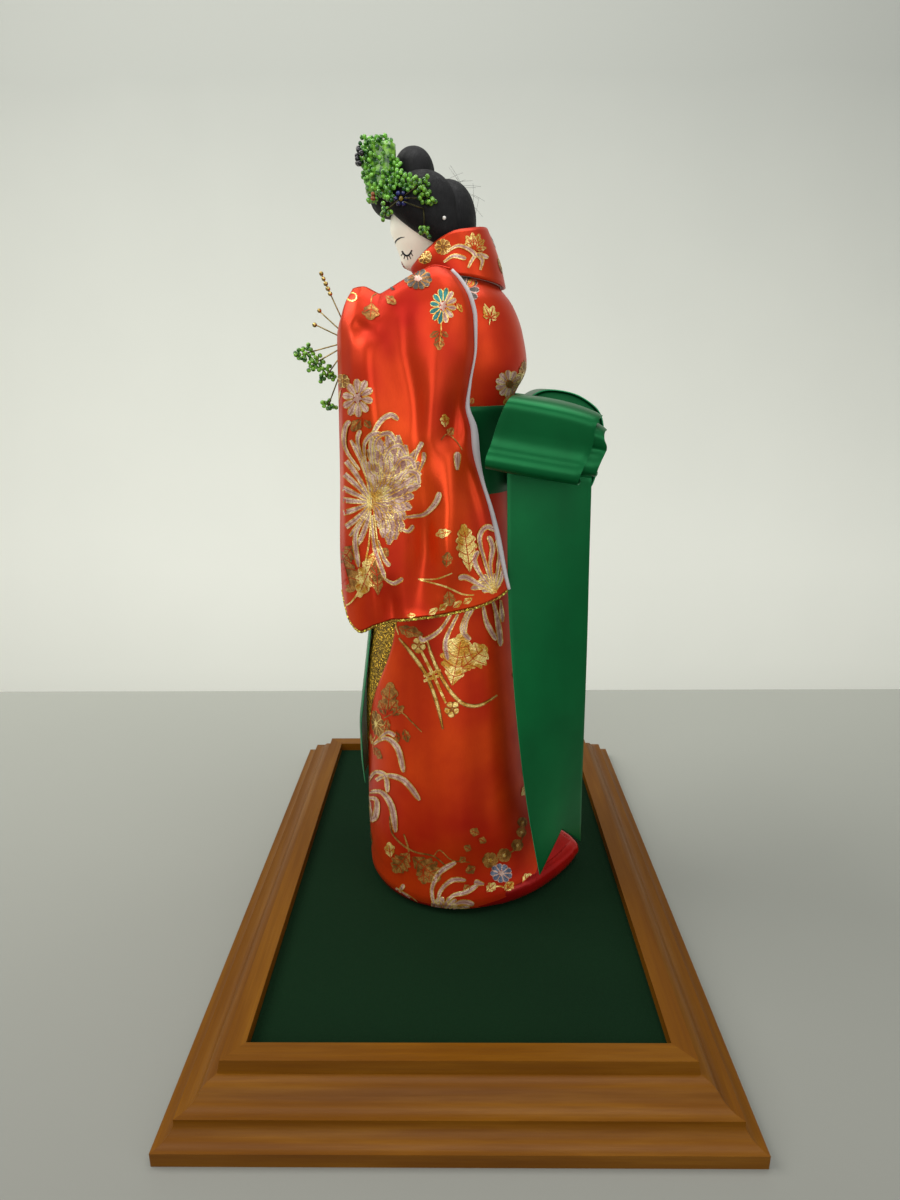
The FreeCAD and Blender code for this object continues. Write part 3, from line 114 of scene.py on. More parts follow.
# The sleeve's folds as seen from the side: height, width and a run of (y, z) places
SLEEVE_FOLD_RUNS = [
    (3.2, 7.5, [(-35, 322), (-36, 300), (-34, 275), (-31, 255)]),
    (-1.6, 5.0, [(-22, 326), (-22, 305), (-18, 285), (-14, 262)]),
    (-2.6, 4.2, [(9, 300), (6, 290), (2, 279), (-2, 268)]),
    (1.6, 5.0, [(-8, 310), (-9, 290), (-12, 270), (-12, 240), (-4, 215)]),
    (2.4, 5.0, [(-4, 262), (-3, 240), (-3, 215), (-6, 200)]),
    (-2.6, 5.0, [(-14, 262), (-13, 240), (-14, 220), (-18, 195)]),
    (-2.4, 5.0, [(7, 262), (9, 248), (13, 235), (16, 215)]),
    (-1.8, 4.0, [(-31, 205), (-30, 195), (-29, 182)]),
    (1.4, 4.0, [(-38, 215), (-37, 200), (-36, 186)]),
    (-1.5, 4.0, [(-42, 318), (-38, 314), (-32, 313)]),
]
# The hanging tail by share down: sideways and rearward in ribbon widths, and its turn in degrees
TAIL_SHARES = [
    (0.00, 0.06, 0.00, 6.0), (0.25, 0.10, 0.02, 8.0), (0.50, 0.13, 0.08, 20.0), (0.78, 0.08, 0.19, 36.0),
    (1.00, -0.02, 0.32, 49.0),
]
FRONT_RIBBON_SHARES = [
    (0.00, 0.685), (0.12, 0.750), (0.24, 0.805), (0.36, 0.860), (0.46, 0.905), (0.60, 0.966), (0.70, 1.010),
    (0.80, 1.045), (0.90, 1.045), (1.00, 1.025),
]
COLLAR_SHARES = [
    (-1.00, 0.24, 0.16), (-0.50, 0.55, 0.14), (-0.16, 0.72, 0.12), (0.19, 0.84, 0.10), (0.54, 0.90, 0.06),
    (1.00, 1.00, 0.00),
]
DRUM_SHARES = [
    (0.00, -0.36), (0.00, 0.41), (0.15, 0.54), (0.32, 0.60), (0.62, 0.56), (0.81, 0.47), (0.95, 0.36),
    (1.00, 0.17), (0.99, -0.05), (0.90, -0.37), (0.86, -0.41), (0.04, -0.41),
]
HEAD_SHARES = [
    (-1.00, 0.30, 0.45), (-0.88, 0.48, 0.68), (-0.60, 0.74, 0.78), (-0.30, 0.92, 0.90), (0.00, 1.00, 1.00),
    (0.40, 0.95, 0.95), (0.78, 0.70, 0.70), (1.00, 0.26, 0.26),
]
# Wads of hair: middle and half sizes
WADS = [
    ("hair_back_roll", BACK_ROLL, (17.0, 13.5, 17.5)),
    ("left_hair_wing", Vector((14, -14, 366.4)), (8.2, 15.0, 16.0)),
    ("right_hair_wing", Vector((-14, -14, 366.4)), (8.2, 15.0, 16.0)),
    ("hair_front_roll", Vector((0, -29.6, 375.1)), (13.0, 9.5, 9.5)),
    ("hair_top_knot", Vector((0, -18.5, 383.5)), (12.0, 9.5, 11.5)),
]


# Numbers

def smooth_at(rows, place):
    """The values of a table of rows at a place, on a smooth curve through the rows."""
    place = min(max(place, rows[0][0]), rows[-1][0])
    index = next(i for i in range(len(rows) - 1) if place <= rows[i + 1][0])
    low, high = rows[index], rows[index + 1]
    step = high[0] - low[0]
    t = (place - low[0]) / step
    values = []
    for column in range(1, len(low)):
        slopes = [(b[column] - a[column]) / (b[0] - a[0]) for a, b in zip(rows, rows[1:])]
        tangents = []
        for i in (index, index + 1):
            if i in (0, len(rows) - 1):
                tangents.append(slopes[0 if i == 0 else -1])
            else:
                a, b = slopes[i - 1], slopes[i]
                tangents.append(0.0 if a * b <= 0 else 2 * a * b / (a + b))
        values.append((2 * t ** 3 - 3 * t ** 2 + 1) * low[column] + (t ** 3 - 2 * t ** 2 + t) * step * tangents[0]
                      + (3 * t ** 2 - 2 * t ** 3) * high[column] + (t ** 3 - t ** 2) * step * tangents[1])
    return values


def shares(count):
    return [index / count for index in range(count + 1)]


def turns(count):
    return [2 * math.pi * index / count for index in range(count)]


def eased(value):
    value = min(max(value, 0.0), 1.0)
    return value * value * (3 - 2 * value)


def bump(distance, width):
    return math.exp(-(distance / width) ** 2)


def bent(start, middle, end, t):
    """A place on the curve from start to end that a middle point pulls."""
    return start * (1 - t) ** 2 + middle * (2 * t * (1 - t)) + end * t * t


def rounded(outline, steps):
    """A smooth closed curve near the corners of an outline."""
    result = []
    for index, here in enumerate(outline):
        start, end = (outline[index - 1] + here) / 2, (here + outline[(index + 1) % len(outline)]) / 2
        result += [bent(start, here, end, step / steps) for step in range(steps)]
    return result


def open_curve(points, steps):
    """A smooth open curve that starts and ends at the first and last points and keeps near the others."""
    result = [points[0]]
    for index in range(1, len(points) - 1):
        start = points[0] if index == 1 else (points[index - 1] + points[index]) / 2
        end = points[-1] if index == len(points) - 2 else (points[index] + points[index + 1]) / 2
        result += [bent(start, points[index], end, step / steps) for step in range(1, steps + 1)]
    return result


# Materials

def linear(red, green, blue):
    """A colour given as it looks on a screen, 0 to 255, as linear values."""
    return tuple((value / 255 / 12.92) if value <= 10 else ((value / 255 + 0.055) / 1.055) ** 2.4
                 for value in (red, green, blue))


class Nodes:
    """A material, and short ways to add nodes to its tree."""

    def __init__(self, name, roughness, metallic=0.0, **sockets):
        self.material = bpy.data.materials.new(name)
        self.material.use_nodes = True
        self.tree = self.material.node_tree
        self.shader = self.tree.nodes["Principled BSDF"]
        self.coordinates = self.tree.nodes.new("ShaderNodeTexCoord").outputs["Object"]
        for socket, value in dict(Roughness=roughness, Metallic=metallic, **sockets).items():
            self.shader.inputs[socket.replace("_", " ")].default_value = value

    def add(self, kind, **inputs):
        node = self.tree.nodes.new(kind)
        for name, value in inputs.items():
            self.put(node.inputs[name], value)
        return node

    def put(self, socket, value):
        if isinstance(value, bpy.types.NodeSocket):
            self.tree.links.new(value, socket)
        else:
            socket.default_value = value

    def scaled(self, stretch, turn=(0, 0, 0)):
        return self.add("ShaderNodeMapping", Vector=self.coordinates, Scale=stretch, Rotation=turn).outputs["Vector"]

    def noise(self, scale, detail=3.0, roughness=0.5, lie=None):
        lie = self.coordinates if lie is None else lie
        node = self.add("ShaderNodeTexNoise", Vector=lie, Scale=scale, Detail=detail, Roughness=roughness)
        return node.outputs["Fac"]

    def ramp(self, factor, *stops):
        """Colours, or plain shares, that follow a factor."""
        node = self.add("ShaderNodeValToRGB", Fac=factor)
        elements = node.color_ramp.elements
        while len(elements) < len(stops):
            elements.new(0.5)
        for element, (place, colour) in zip(elements, stops):
            element.position = place
            element.color = (*(colour if isinstance(colour, tuple) else (colour,) * 3), 1.0)
        return node.outputs["Color"]

    def mix(self, factor, first, second):
        node = self.tree.nodes.new("ShaderNodeMix")
        node.data_type = "RGBA"
        self.put(node.inputs["Factor"], factor)
        for socket, value in ((node.inputs[6], first), (node.inputs[7], second)):
            self.put(socket, value if isinstance(value, bpy.types.NodeSocket) else (*value, 1.0))
        return node.outputs[2]

    def maths(self, kind, first, second):
        node = self.tree.nodes.new("ShaderNodeMath")
        node.operation = kind
        self.put(node.inputs[0], first)
        self.put(node.inputs[1], second)
        return node.outputs[0]

    def colour(self, value):
        self.put(self.shader.inputs["Base Color"], value)

    def shades(self, factor, dark, light, low=0.3, high=0.7):
        self.colour(self.ramp(factor, (low, linear(*dark)), (high, linear(*light))))

    def rough(self, factor, first, second, low=0.3, high=0.7):
        self.put(self.shader.inputs["Roughness"], self.ramp(factor, (low, first), (high, second)))

    def raised(self, height, strength, distance):
        node = self.add("ShaderNodeBump", Height=height, Strength=strength, Distance=distance)
        self.put(self.shader.inputs["Normal"], node.outputs["Normal"])


def satin(name, light, dark, roughness, metallic, sheen=0.0):
    """Woven satin: fine ribs along the cloth, slow changes of shade in its lie, and darker hanging streaks that are
    painted shade of hanging folds.
    """
    nodes = Nodes(name, roughness, metallic, Sheen_Weight=sheen, Specular_IOR_Level=0.25)
    light, dark = linear(*light), linear(*dark)
    slow = nodes.noise(22.0)
    # Darker hanging streaks, down to 0.6 of the dark tone: painted shade of folds in the hanging cloth.
    hanging = nodes.ramp(nodes.noise(48.0, 2.0, lie=nodes.scaled((1, 1, 0.2))), (0.42, 0.0), (0.72, 0.34))
    threads = nodes.noise(2600.0, 2.0, lie=nodes.scaled((1, 1, 0.12)))
    shade = nodes.mix(nodes.maths("MULTIPLY", threads, 0.35), nodes.ramp(slow, (0.3, dark), (0.7, light)), dark)
    nodes.colour(nodes.mix(hanging, shade, tuple(value * 0.6 for value in dark)))
    nodes.rough(slow, roughness + 0.07, roughness - 0.05)
    nodes.raised(threads, 0.35, 0.00002)
    return nodes.material


def wood(name, along):
    """Varnished golden-brown wood with its grain along the rail."""
    nodes = Nodes(name, 0.5, Coat_Weight=0.03, Coat_Roughness=0.3, Specular_IOR_Level=0.1)
    stretch = (1.0, 14.0, 14.0) if along == "x" else (14.0, 1.0, 14.0)
    broad = nodes.noise(9.0, 4.0, 0.6, nodes.scaled(stretch))
    fine = nodes.noise(26.0, 5.0, 0.7, nodes.scaled(tuple(value * (3.0 if value > 1 else 1.0) for value in stretch)))
    bands = nodes.ramp(broad, (0.25, linear(92, 52, 2)), (0.5, linear(106, 64, 5)), (0.75, linear(124, 80, 14)))
    nodes.colour(nodes.mix(nodes.maths("MULTIPLY", fine, 0.7), bands, linear(74, 40, 2)))
    nodes.rough(fine, 0.34, 0.48)
    nodes.raised(fine, 0.25, 0.0002)
    return nodes.material


def felt(name):
    nodes = Nodes(name, 0.95, Specular_IOR_Level=0.1)
    fibres = nodes.noise(900.0, 5.0, 0.75)
    ground = nodes.ramp(nodes.noise(14.0), (0.3, linear(2, 21, 8)), (0.7, linear(5, 28, 11)))
    nodes.colour(nodes.mix(fibres, ground, linear(10, 38, 17)))
    nodes.raised(fibres, 0.8, 0.0006)
    return nodes.material


def glitter(name, light, dark):
    """Cloth full of metal thread, with bright specks painted in as glints of the thread."""
    nodes = Nodes(name, 0.35, 0.75)
    light, dark = linear(*light), linear(*dark)
    specks = nodes.add("ShaderNodeTexVoronoi", Vector=nodes.coordinates, Scale=1500.0).outputs
    ground = nodes.ramp(nodes.noise(620.0), (0.35, dark), (0.62, light))
    # Near-white specks in the colour: painted glints.
    bright = tuple(min(1.0, value * 3.4) for value in light)
    nodes.colour(nodes.mix(nodes.ramp(specks["Color"], (0.62, 0.0), (0.8, 1.0)), ground, bright))
    nodes.rough(specks["Distance"], 0.2, 0.5, 0.0, 0.5)
    nodes.raised(specks["Distance"], 1.0, 0.0004)
    return nodes.material


def thread_metal(name, light, dark, roughness, metallic):
    """Metal thread laid in flat stitches, in bright and dull patches with finer dark flecks: painted highlight and
    painted shade of the thread's sparkle.
    """
    nodes = Nodes(name, roughness, metallic)
    light, dark = linear(*light), linear(*dark)
    stitches = nodes.noise(1300.0, 2.0)
    # Bright and dull patches, and dark flecks from the stitches: painted highlight and painted shade standing in for
    # the thread's sparkle.
    patches = nodes.ramp(nodes.noise(210.0, 2.0), (0.40, dark), (0.58, light))
    nodes.colour(nodes.mix(nodes.ramp(stitches, (0.42, 0.6), (0.56, 0.0)), patches, dark))
    nodes.rough(stitches, roughness + 0.15, roughness - 0.05)
    nodes.raised(stitches, 0.9, 0.0003)
    return nodes.material


def painted(name, light, dark, roughness=0.5):
    nodes = Nodes(name, roughness)
    nodes.shades(nodes.noise(60.0), dark, light)
    nodes.raised(nodes.noise(900.0, 2.0), 0.08, 0.0001)
    return nodes.material


def hair_material(name):
    """Dull black combed hair: fine strands that catch little light."""
    nodes = Nodes(name, 0.62, Specular_IOR_Level=0.25)
    strands = nodes.noise(1500.0, 3.0, 0.6, nodes.scaled((1.0, 1.0, 0.16), (0.35, 0.0, 0.0)))
    nodes.colour(nodes.mix(strands, linear(3, 3, 4), linear(15, 15, 16)))
    nodes.rough(nodes.noise(300.0, 4.0), 0.55, 0.75)
    nodes.raised(strands, 0.8, 0.0004)
    return nodes.material


def glass(name, light, dark, transmission, roughness):
    nodes = Nodes(name, roughness, Transmission_Weight=transmission, IOR=1.5)
    nodes.shades(nodes.noise(420.0, 2.0), dark, light, 0.38, 0.64)
    nodes.raised(nodes.noise(1400.0, 2.0), 0.1, 0.0001)
    return nodes.material


def metal(name, light, dark, roughness=0.3):
    nodes = Nodes(name, roughness, 1.0)
    wear = nodes.noise(500.0, 4.0)
    nodes.shades(wear, dark, light)
    nodes.rough(wear, roughness + 0.12, roughness)
    nodes.raised(wear, 0.2, 0.0001)
    return nodes.material


def cotton(name, light, dark, scale):
    nodes = Nodes(name, 0.9, Sheen_Weight=0.1, Sheen_Roughness=0.6)
    fibres = nodes.noise(scale, 4.0, 0.7)
    nodes.shades(fibres, dark, light)
    nodes.raised(fibres, 0.5, 0.0005)
    return nodes.material


ORANGE = satin("orange_satin", (228, 78, 16), (176, 26, 6), 0.36, 0.55)
HEM_RED = satin("hem_satin", (180, 22, 14), (110, 8, 8), 0.26, 0.5)
GREEN = satin("green_satin", (6, 106, 54), (0, 82, 40), 0.36, 0.5)
PALE_GREEN = satin("pale_green_satin", (14, 126, 76), (6, 98, 56), 0.4, 0.3)
OBI_GREEN = satin("obi_satin", (12, 98, 50), (6, 72, 36), 0.38, 0.5)
# The ribbons' rims: real edge thread, given a lighter green as a painted highlight along the edge.
EDGE_HIGHLIGHT_GREEN = satin("edge_highlight_satin", (70, 176, 118), (30, 130, 80), 0.45, 0.2)
PIPING = satin("piping_satin", (204, 202, 200), (160, 156, 158), 0.5, 0.0, 0.25)
GOLD_CLOTH = glitter("gold_glitter", (150, 118, 34), (78, 58, 14))
GOLD_CORD = glitter("gold_cord", (186, 150, 60), (112, 84, 26))
WHITE = cotton("white_cotton", (236, 232, 224), (206, 200, 190), 700.0)
WADDING = cotton("wadding", (226, 218, 200), (190, 180, 158), 400.0)
FACE = painted("face_paint", (252, 248, 230), (246, 240, 218))
LIMB = painted("limb_paint", (238, 226, 206), (226, 210, 186))
INK = painted("ink", (26, 24, 24), (12, 12, 12), 0.6)
LIP = painted("lip_paint", (178, 30, 30), (140, 16, 20), 0.45)
HAIR = hair_material("black_hair")
WOOD_X = wood("wood_along_x", "x")
WOOD_Y = wood("wood_along_y", "y")
PANEL = wood("plywood", "x")
FELT = felt("green_felt")
STEEL = metal("plated_steel", (196, 198, 202), (140, 142, 148))
WIRE = metal("bead_wire", (172, 150, 96), (110, 92, 52))
DARK_WIRE = metal("dark_wire", (70, 66, 40), (34, 34, 22))
GOLD_BEADS = metal("gold_beads", (206, 180, 110), (120, 98, 48), 0.22)
# The green beads' light tone is a painted highlight and their dark tone a painted shade, laid at random by noise.
GREEN_BEADS = glass("green_glass", (150, 226, 84), (14, 84, 18), 0.35, 0.05)
LEAF_BEADS = glass("leaf_glass", (150, 214, 70), (22, 84, 16), 0.35, 0.05)
BLACK_BEADS = glass("black_beads", (40, 38, 44), (14, 14, 18), 0.0, 0.12)
AMBER_BEADS = glass("amber_beads", (170, 90, 30), (110, 50, 14), 0.1, 0.12)
BLUE_BEADS = glass("blue_beads", (34, 44, 110), (12, 16, 52), 0.1, 0.12)
YELLOW_BEADS = glass("yellow_beads", (190, 170, 40), (120, 104, 20), 0.2, 0.12)
PEARL = glass("pearl_beads", (236, 234, 226), (214, 210, 200), 0.0, 0.18)

# Threads of the brocade, and the numbers that the drawings call them by
THREADS = [
    thread_metal("silver_pink_thread", (222, 190, 174), (172, 130, 114), 0.4, 0.45),
    thread_metal("bright_gold_thread", (255, 232, 146), (196, 140, 44), 0.25, 0.6),
    thread_metal("dull_gold_thread", (190, 134, 62), (118, 74, 22), 0.36, 0.6),
    thread_metal("teal_thread", (60, 150, 142), (24, 96, 96), 0.5, 0.3),
    thread_metal("grey_thread", (112, 104, 96), (62, 56, 50), 0.5, 0.4),
    thread_metal("blue_grey_thread", (120, 128, 146), (70, 78, 96), 0.5, 0.4),
    thread_metal("shaded_pink_thread", (190, 146, 130), (140, 96, 84), 0.45, 0.45),
    ORANGE,
]
SILVER, GOLD, DULL, TEAL, GREY, BLUE, PINK, GROUND = range(len(THREADS))


# Meshes

def mesh_piece(name, points, faces, materials, kinds=(), body="doll", node=None, slot=None, shade=True):
    """A piece of the doll. The kinds, where given, say which of the materials each face has."""
    mesh = bpy.data.meshes.new(name)
    mesh.from_pydata([tuple(value * MM for value in point) for point in points], [], faces)
    mesh.validate()
    piece = bpy.data.objects.new(name, mesh)
    bpy.context.scene.collection.objects.link(piece)
    for material in materials if isinstance(materials, list) else [materials]:
        mesh.materials.append(material)
    for polygon, kind in zip(mesh.polygons, kinds):
        polygon.material_index = kind
    if shade:
        mesh.shade_smooth()
    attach(piece, body)
    if node:
        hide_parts(node)
    return piece


def modifier(piece, kind, name, **values):
    item = piece.modifiers.new(name, kind)
    for key, value in values.items():
        setattr(item, key, value)
    return item


def grid_faces(rows, columns, closed=False):
    """Quads of a grid of points laid row by row. A closed grid's rows are rings."""
    faces = []
    for row in range(rows - 1):
        for column in range(columns if closed else columns - 1):
            a, b = row * columns + column, row * columns + (column + 1) % columns
            faces.append((a, b, b + columns, a + columns))
    return faces


def capped_faces(rings):
    """Quads between rings of points, and a cap at each end."""
    count = len(rings[0])
    last = (len(rings) - 1) * count
    caps = [tuple(reversed(range(count))), tuple(range(last, last + count))]
    return grid_faces(len(rings), count, True) + caps


def joined(grid):
    return [point for row in grid for point in row]


def cloth(name, grid, material, thickness, flat, held, rests_on, closed=False, offset=-1.0, **details):
    """A sheet of cloth through a grid of points, given a thickness. Ribbon has a rim of edge thread, coloured a lighter
    green as a painted highlight along its edges.
    """
    ribbon = material in (GREEN, PALE_GREEN, OBI_GREEN)
    piece = mesh_piece(name, joined(grid), grid_faces(len(grid), len(grid[0]), closed),
                       [material, EDGE_HIGHLIGHT_GREEN] if ribbon else material, **details)
    # The rim faces take the lighter green: a painted highlight along the ribbon's edge.
    modifier(piece, "SOLIDIFY", "thickness", thickness=thickness * MM, offset=offset,
             material_offset_rim=int(ribbon))
    modifier(piece, "WEIGHTED_NORMAL", "even_shading", weight=100)


def stack(name, rings, material, **details):
    """A closed form through rings of points, capped at both ends."""
    return mesh_piece(name, joined(rings), capped_faces(rings), material, **details)


def tube_rings(path, radii, sides, flat_share=1.0):
    rings = []
    sideways = None
    for index, point in enumerate(path):
        before, after = path[max(index - 1, 0)], path[min(index + 1, len(path) - 1)]
        heading = (after - before).normalized()
        if sideways is None:
            sideways = heading.cross(Vector((0, 0, 1)))
            if sideways.length < 0.1:
                sideways = heading.cross(Vector((0, 1, 0)))
        sideways = (sideways - heading * sideways.dot(heading)).normalized()
        upward = sideways.cross(heading)
        radius = radii[index] if isinstance(radii, list) else radii
        rings.append([point + (sideways * math.cos(turn) * flat_share + upward * math.sin(turn)) * radius
                      for turn in turns(sides)])
    return rings


class Heap:
    """Many small closed forms gathered into one mesh, each with its own material."""

    def __init__(self):
        self.points = []
        self.faces = []
        self.kinds = []

    def add(self, rings, kind=0):
        first = len(self.points)
        faces = capped_faces(rings)
        self.points.extend(joined(rings))
        self.faces.extend(tuple(first + index for index in face) for face in faces)
        self.kinds.extend([kind] * len(faces))

    def tube(self, path, radii, sides=8, flat_share=1.0):
        self.add(tube_rings(path, radii, sides, flat_share))

    def bead(self, centre, diameter, kind, heading):
        """A glass seed bead: round, a little flat where its hole is."""
        levels = [(-0.94, 0.34), (-0.80, 0.68), (-0.42, 0.93), (0.0, 1.0), (0.42, 0.93), (0.80, 0.68), (0.94, 0.34)]
        axis = heading.normalized()
        aside = axis.orthogonal().normalized()
        third = axis.cross(aside)
        half = diameter / 2
        self.add([[centre + axis * (up * half * 0.86) + (aside * math.cos(turn) + third * math.sin(turn)) * half * out
                   for turn in turns(10)] for up, out in levels], kind)

    def piece(self, name, materials, **details):
        mesh_piece(name, self.points, self.faces, materials, self.kinds, **details)


# Base

def base():
    for material, labels in ((WOOD_X, ("front_rail", "back_rail")), (WOOD_Y, ("left_rail", "right_rail")),
                             (PANEL, ("base_panel", "corner_blocks")), (FELT, ("felt_sheet",)),
                             (STEEL, ("stand_rod", "lower_stand_nut", "upper_stand_nut", "neck_peg"))):
        for label in labels:
            node = NODES[label]
            node.data.materials.clear()
            node.data.materials.append(material)
            if label.endswith("_rail"):
                modifier(node, "BEVEL", "soft_edges", width=0.0006, segments=2, limit_method="ANGLE")


# Body surfaces

def section(rows, low, high, front, back, half, z):
    """A body section at a level: its front, back and half width, and how its back narrows."""
    f, b, h, taper = smooth_at(rows, (z - low) / (high - low))
    return front * f, back * b, half * h, taper


def skirt_size(z):
    foot = FELT_TOP + HEM_HEIGHT
    if z < foot:
        return section(HEM_SHARES, FELT_TOP, foot, SKIRT_FRONT, SKIRT_TRAIN, SKIRT_HALF, z)
    return section(SKIRT_SHARES, foot, WAIST, SKIRT_FRONT, SKIRT_TRAIN, SKIRT_HALF, z)


def torso_size(z):
    return section(TORSO_SHARES, WAIST, SHOULDER, TORSO_FRONT, TORSO_BACK, TORSO_HALF, z)


def body_point(size, turn, z, outward=0.0):
    """A point round a body section: turn 0 is the doll's left, and a quarter turn is its back."""
    front, back, half, taper = size
    across, along = math.cos(turn), math.sin(turn)
    narrowed = abs(across) ** (taper if along > 0 else 1.0)
    return Vector((math.copysign(narrowed, across) * (half + outward),
                   along * ((back if along > 0 else front) + outward), z))


def body_ring(size, z, outward=0.0, count=64):
    return [body_point(size, turn, z, outward) for turn in turns(count)]


def opening_half(z):
    """Half the gap between the kimono's front edges."""
    foot, knee, narrow, wide = FELT_TOP + 64.0, FELT_TOP + 150.0, 5.0, 27.0
    if z < foot:
        return narrow * eased((z - foot + 8) / 8)
    return narrow + (wide - narrow) * eased((z - foot) / (knee - foot)) if z < knee else wide


def skirt_folds(turn, z):
    """Soft hanging folds of the skirt, out from its plain surface."""
    up = (z - FELT_TOP) / (WAIST - FELT_TOP)
    deep = 0.65 * math.sin(math.pi * min(1.0, up * 1.3)) * (0.6 + 0.4 * math.sin(3 * turn + 1.0))
    folds = deep * math.sin(5 * turn + 1.5 * math.sin(2 * turn + up * 3.0) + up * 1.2)
    # The cloth draws in above the padded hem, then swells over it
    draw = -1.6 * bump(z - (FELT_TOP + 26), 11) * (0.5 + 0.5 * math.sin(turn * 2 + 0.5))
    return folds + draw


def skirt():
    rows, columns, facing_rows = 64, 120, 4
    edge = facing_rows / rows
    grid = []
    for up in shares(rows):
        row = []
        for around in shares(columns):
            # The hem's edge lifts towards the train, over the padded roll, and shows its red facing there
            rearward = math.sin(-math.pi / 2 + 2 * math.pi * around)
            foot = FELT_TOP + 1.2 + 9.6 * eased((rearward - 0.25) / 0.6)
            facing = 0.8 + 13.0 * eased((rearward - 0.55) / 0.42)
            if up <= edge:
                z = foot + facing * up / edge
            else:
                z = foot + facing + (WAIST - foot - facing) * (up - edge) / (1 - edge)
            gap = max(0.25, opening_half(z)) / skirt_size(z)[2]
            start = -math.pi / 2 + math.asin(min(1.0, gap))
            turn = start + (math.pi - 2 * start) * around
            row.append(body_point(skirt_size(z), turn, z, skirt_folds(turn, z)))
        grid.append(row)
    cloth("skirt_cloth", grid, [ORANGE, HEM_RED], 1.0, (0.30, 0.24), "hung", ["obi_sash", "hem_pad"],
          kinds=[1] * (facing_rows * columns), node="kimono_skirt", slot="brocade")


def gold_panel():
    """The gold cloth between the kimono's front edges, tucked a little under both."""
    foot, tucked, sunk = FELT_TOP + 54.0, 3.0, 1.1
    grid = []
    for up in shares(40):
        z = foot + (WAIST - foot) * up
        row = []
        for share in shares(16):
            turn = -math.pi / 2 + math.asin((opening_half(z) + tucked) / skirt_size(z)[2]) * (share * 2 - 1)
            swell = 2.9 * math.sin(math.pi * share) ** 0.7 * math.sin(math.pi * min(1.0, up * 1.15))
            row.append(body_point(skirt_size(z), turn, z, swell - sunk))
        grid.append(row)
    cloth("gold_front", grid, GOLD_CLOTH, 0.6, (0.055, 0.185), "hung", ["lower_wad"],
          node="front_panel", slot="gold_cloth")


def hem():
    """The padded roll under the hem, a closed ring that swells out under the cloth."""
    around, sections = 120, 16
    points = []
    for turn in turns(around):
        out = eased((math.sin(turn) - 0.1) / 0.6)
        half_height = 6.2 - 1.0 * out * (math.sin(turn) > 0.97)
        for angle in turns(sections):
            reach = -1.6 + 2.4 * out - (3.8 + 2.6 * out) * (1 - math.cos(angle))
            z = FELT_TOP + 6.6 + half_height * math.sin(angle)
            points.append(body_point(skirt_size(FELT_TOP + 7.8), turn, z, reach))
    faces = []
    for first, second in ((index, (index + 1) % around) for index in range(around)):
        for a, b in ((corner, (corner + 1) % sections) for corner in range(sections)):
            faces.append((first * sections + a, second * sections + a, second * sections + b, first * sections + b))
    piece = mesh_piece("hem_pad", points, faces, HEM_RED, node="hem_roll", slot="hem")
    plumped(piece)


def plumped(piece):
    """A padded piece swollen by its filling: cloth under pressure, whose points move a set distance at most."""
    most, last_frame = 0.9 * MM, 20
    modifier(piece, "REMESH", "even", mode="VOXEL", voxel_size=0.003)
    materials = list(piece.data.materials)
    scene = bpy.context.scene

    def settled():
        graph = bpy.context.evaluated_depsgraph_get()
        return bpy.data.meshes.new_from_object(piece.evaluated_get(graph))

    start = settled()
    piece.modifiers.clear()
    piece.data = start
    fabric = modifier(piece, "CLOTH", "fabric")
    fabric.settings.use_pressure = True
    fabric.settings.uniform_pressure_force = 4.0
    fabric.settings.shrink_min = -0.08
    fabric.settings.effector_weights.gravity = 0.0
    for number in range(1, last_frame + 1):
        scene.frame_set(number)
    swollen = settled()
    piece.modifiers.clear()
    scene.frame_set(1)
    for vertex, after in zip(start.vertices, swollen.vertices):
        move = after.co - vertex.co
        vertex.co += move * min(1.0, most / max(move.length, 1e-9))
        vertex.co.z = max(vertex.co.z, (FELT_TOP + 0.2) * MM)
    if not start.materials:
        for material in materials:
            start.materials.append(material)
    start.shade_smooth()
    modifier(piece, "SUBSURF", "finer", levels=1, render_levels=1)


def wads():
    """The padding that the cloth is dressed on."""
    levels = [FELT_TOP + 0.3, FELT_TOP + 7, FELT_TOP + 13, FELT_TOP + 14.5] + [40 + step * 10 for step in range(22)]
    rings = [body_ring(skirt_size(max(z, FELT_TOP + 14)), z, -14.0 if z < FELT_TOP + 13.5 else -3.0) for z in levels]
    stack("lower_wad", rings, WADDING, node="lower_core", slot="padding")
    rings = [body_ring(torso_size(z), z, -2.6)
             for z in [WAIST + 0.3 + (SHOULDER - WAIST - 1.2) * share for share in shares(20)]]
    stack("torso_wad", rings, WADDING, node="torso_core", slot="padding")


def torso():
    grid = [body_ring(torso_size(z), z, count=96)
            for z in [WAIST + (SHOULDER - WAIST) * up for up in shares(36)]]
    cloth("torso_cloth", grid, ORANGE, 0.9, (0.235, 0.085), "gathered", ["torso_wad"], closed=True,
          node="kimono_torso", slot="brocade")


# Obi, bow and ribbons

def obi():
    grid = []
    for up in shares(14):
        z = WAIST - RIBBON / 2 + RIBBON * up
        size = [max(a, b) for a, b in zip(torso_size(max(z, WAIST)), skirt_size(min(z, WAIST)))]
        deep = 0.35 * bump(up - 0.5, 0.4)
        grid.append([body_point(size, turn, z, 1.6 + deep * math.sin(turn * 9 + 2 * math.sin(up * 5)))
                     for turn in turns(120)])
    cloth("obi_sash", grid, OBI_GREEN, 1.2, (0.23, 0.04), "folded", ["torso_cloth", "skirt_cloth"], closed=True,
          node="obi_band", slot="ribbon")


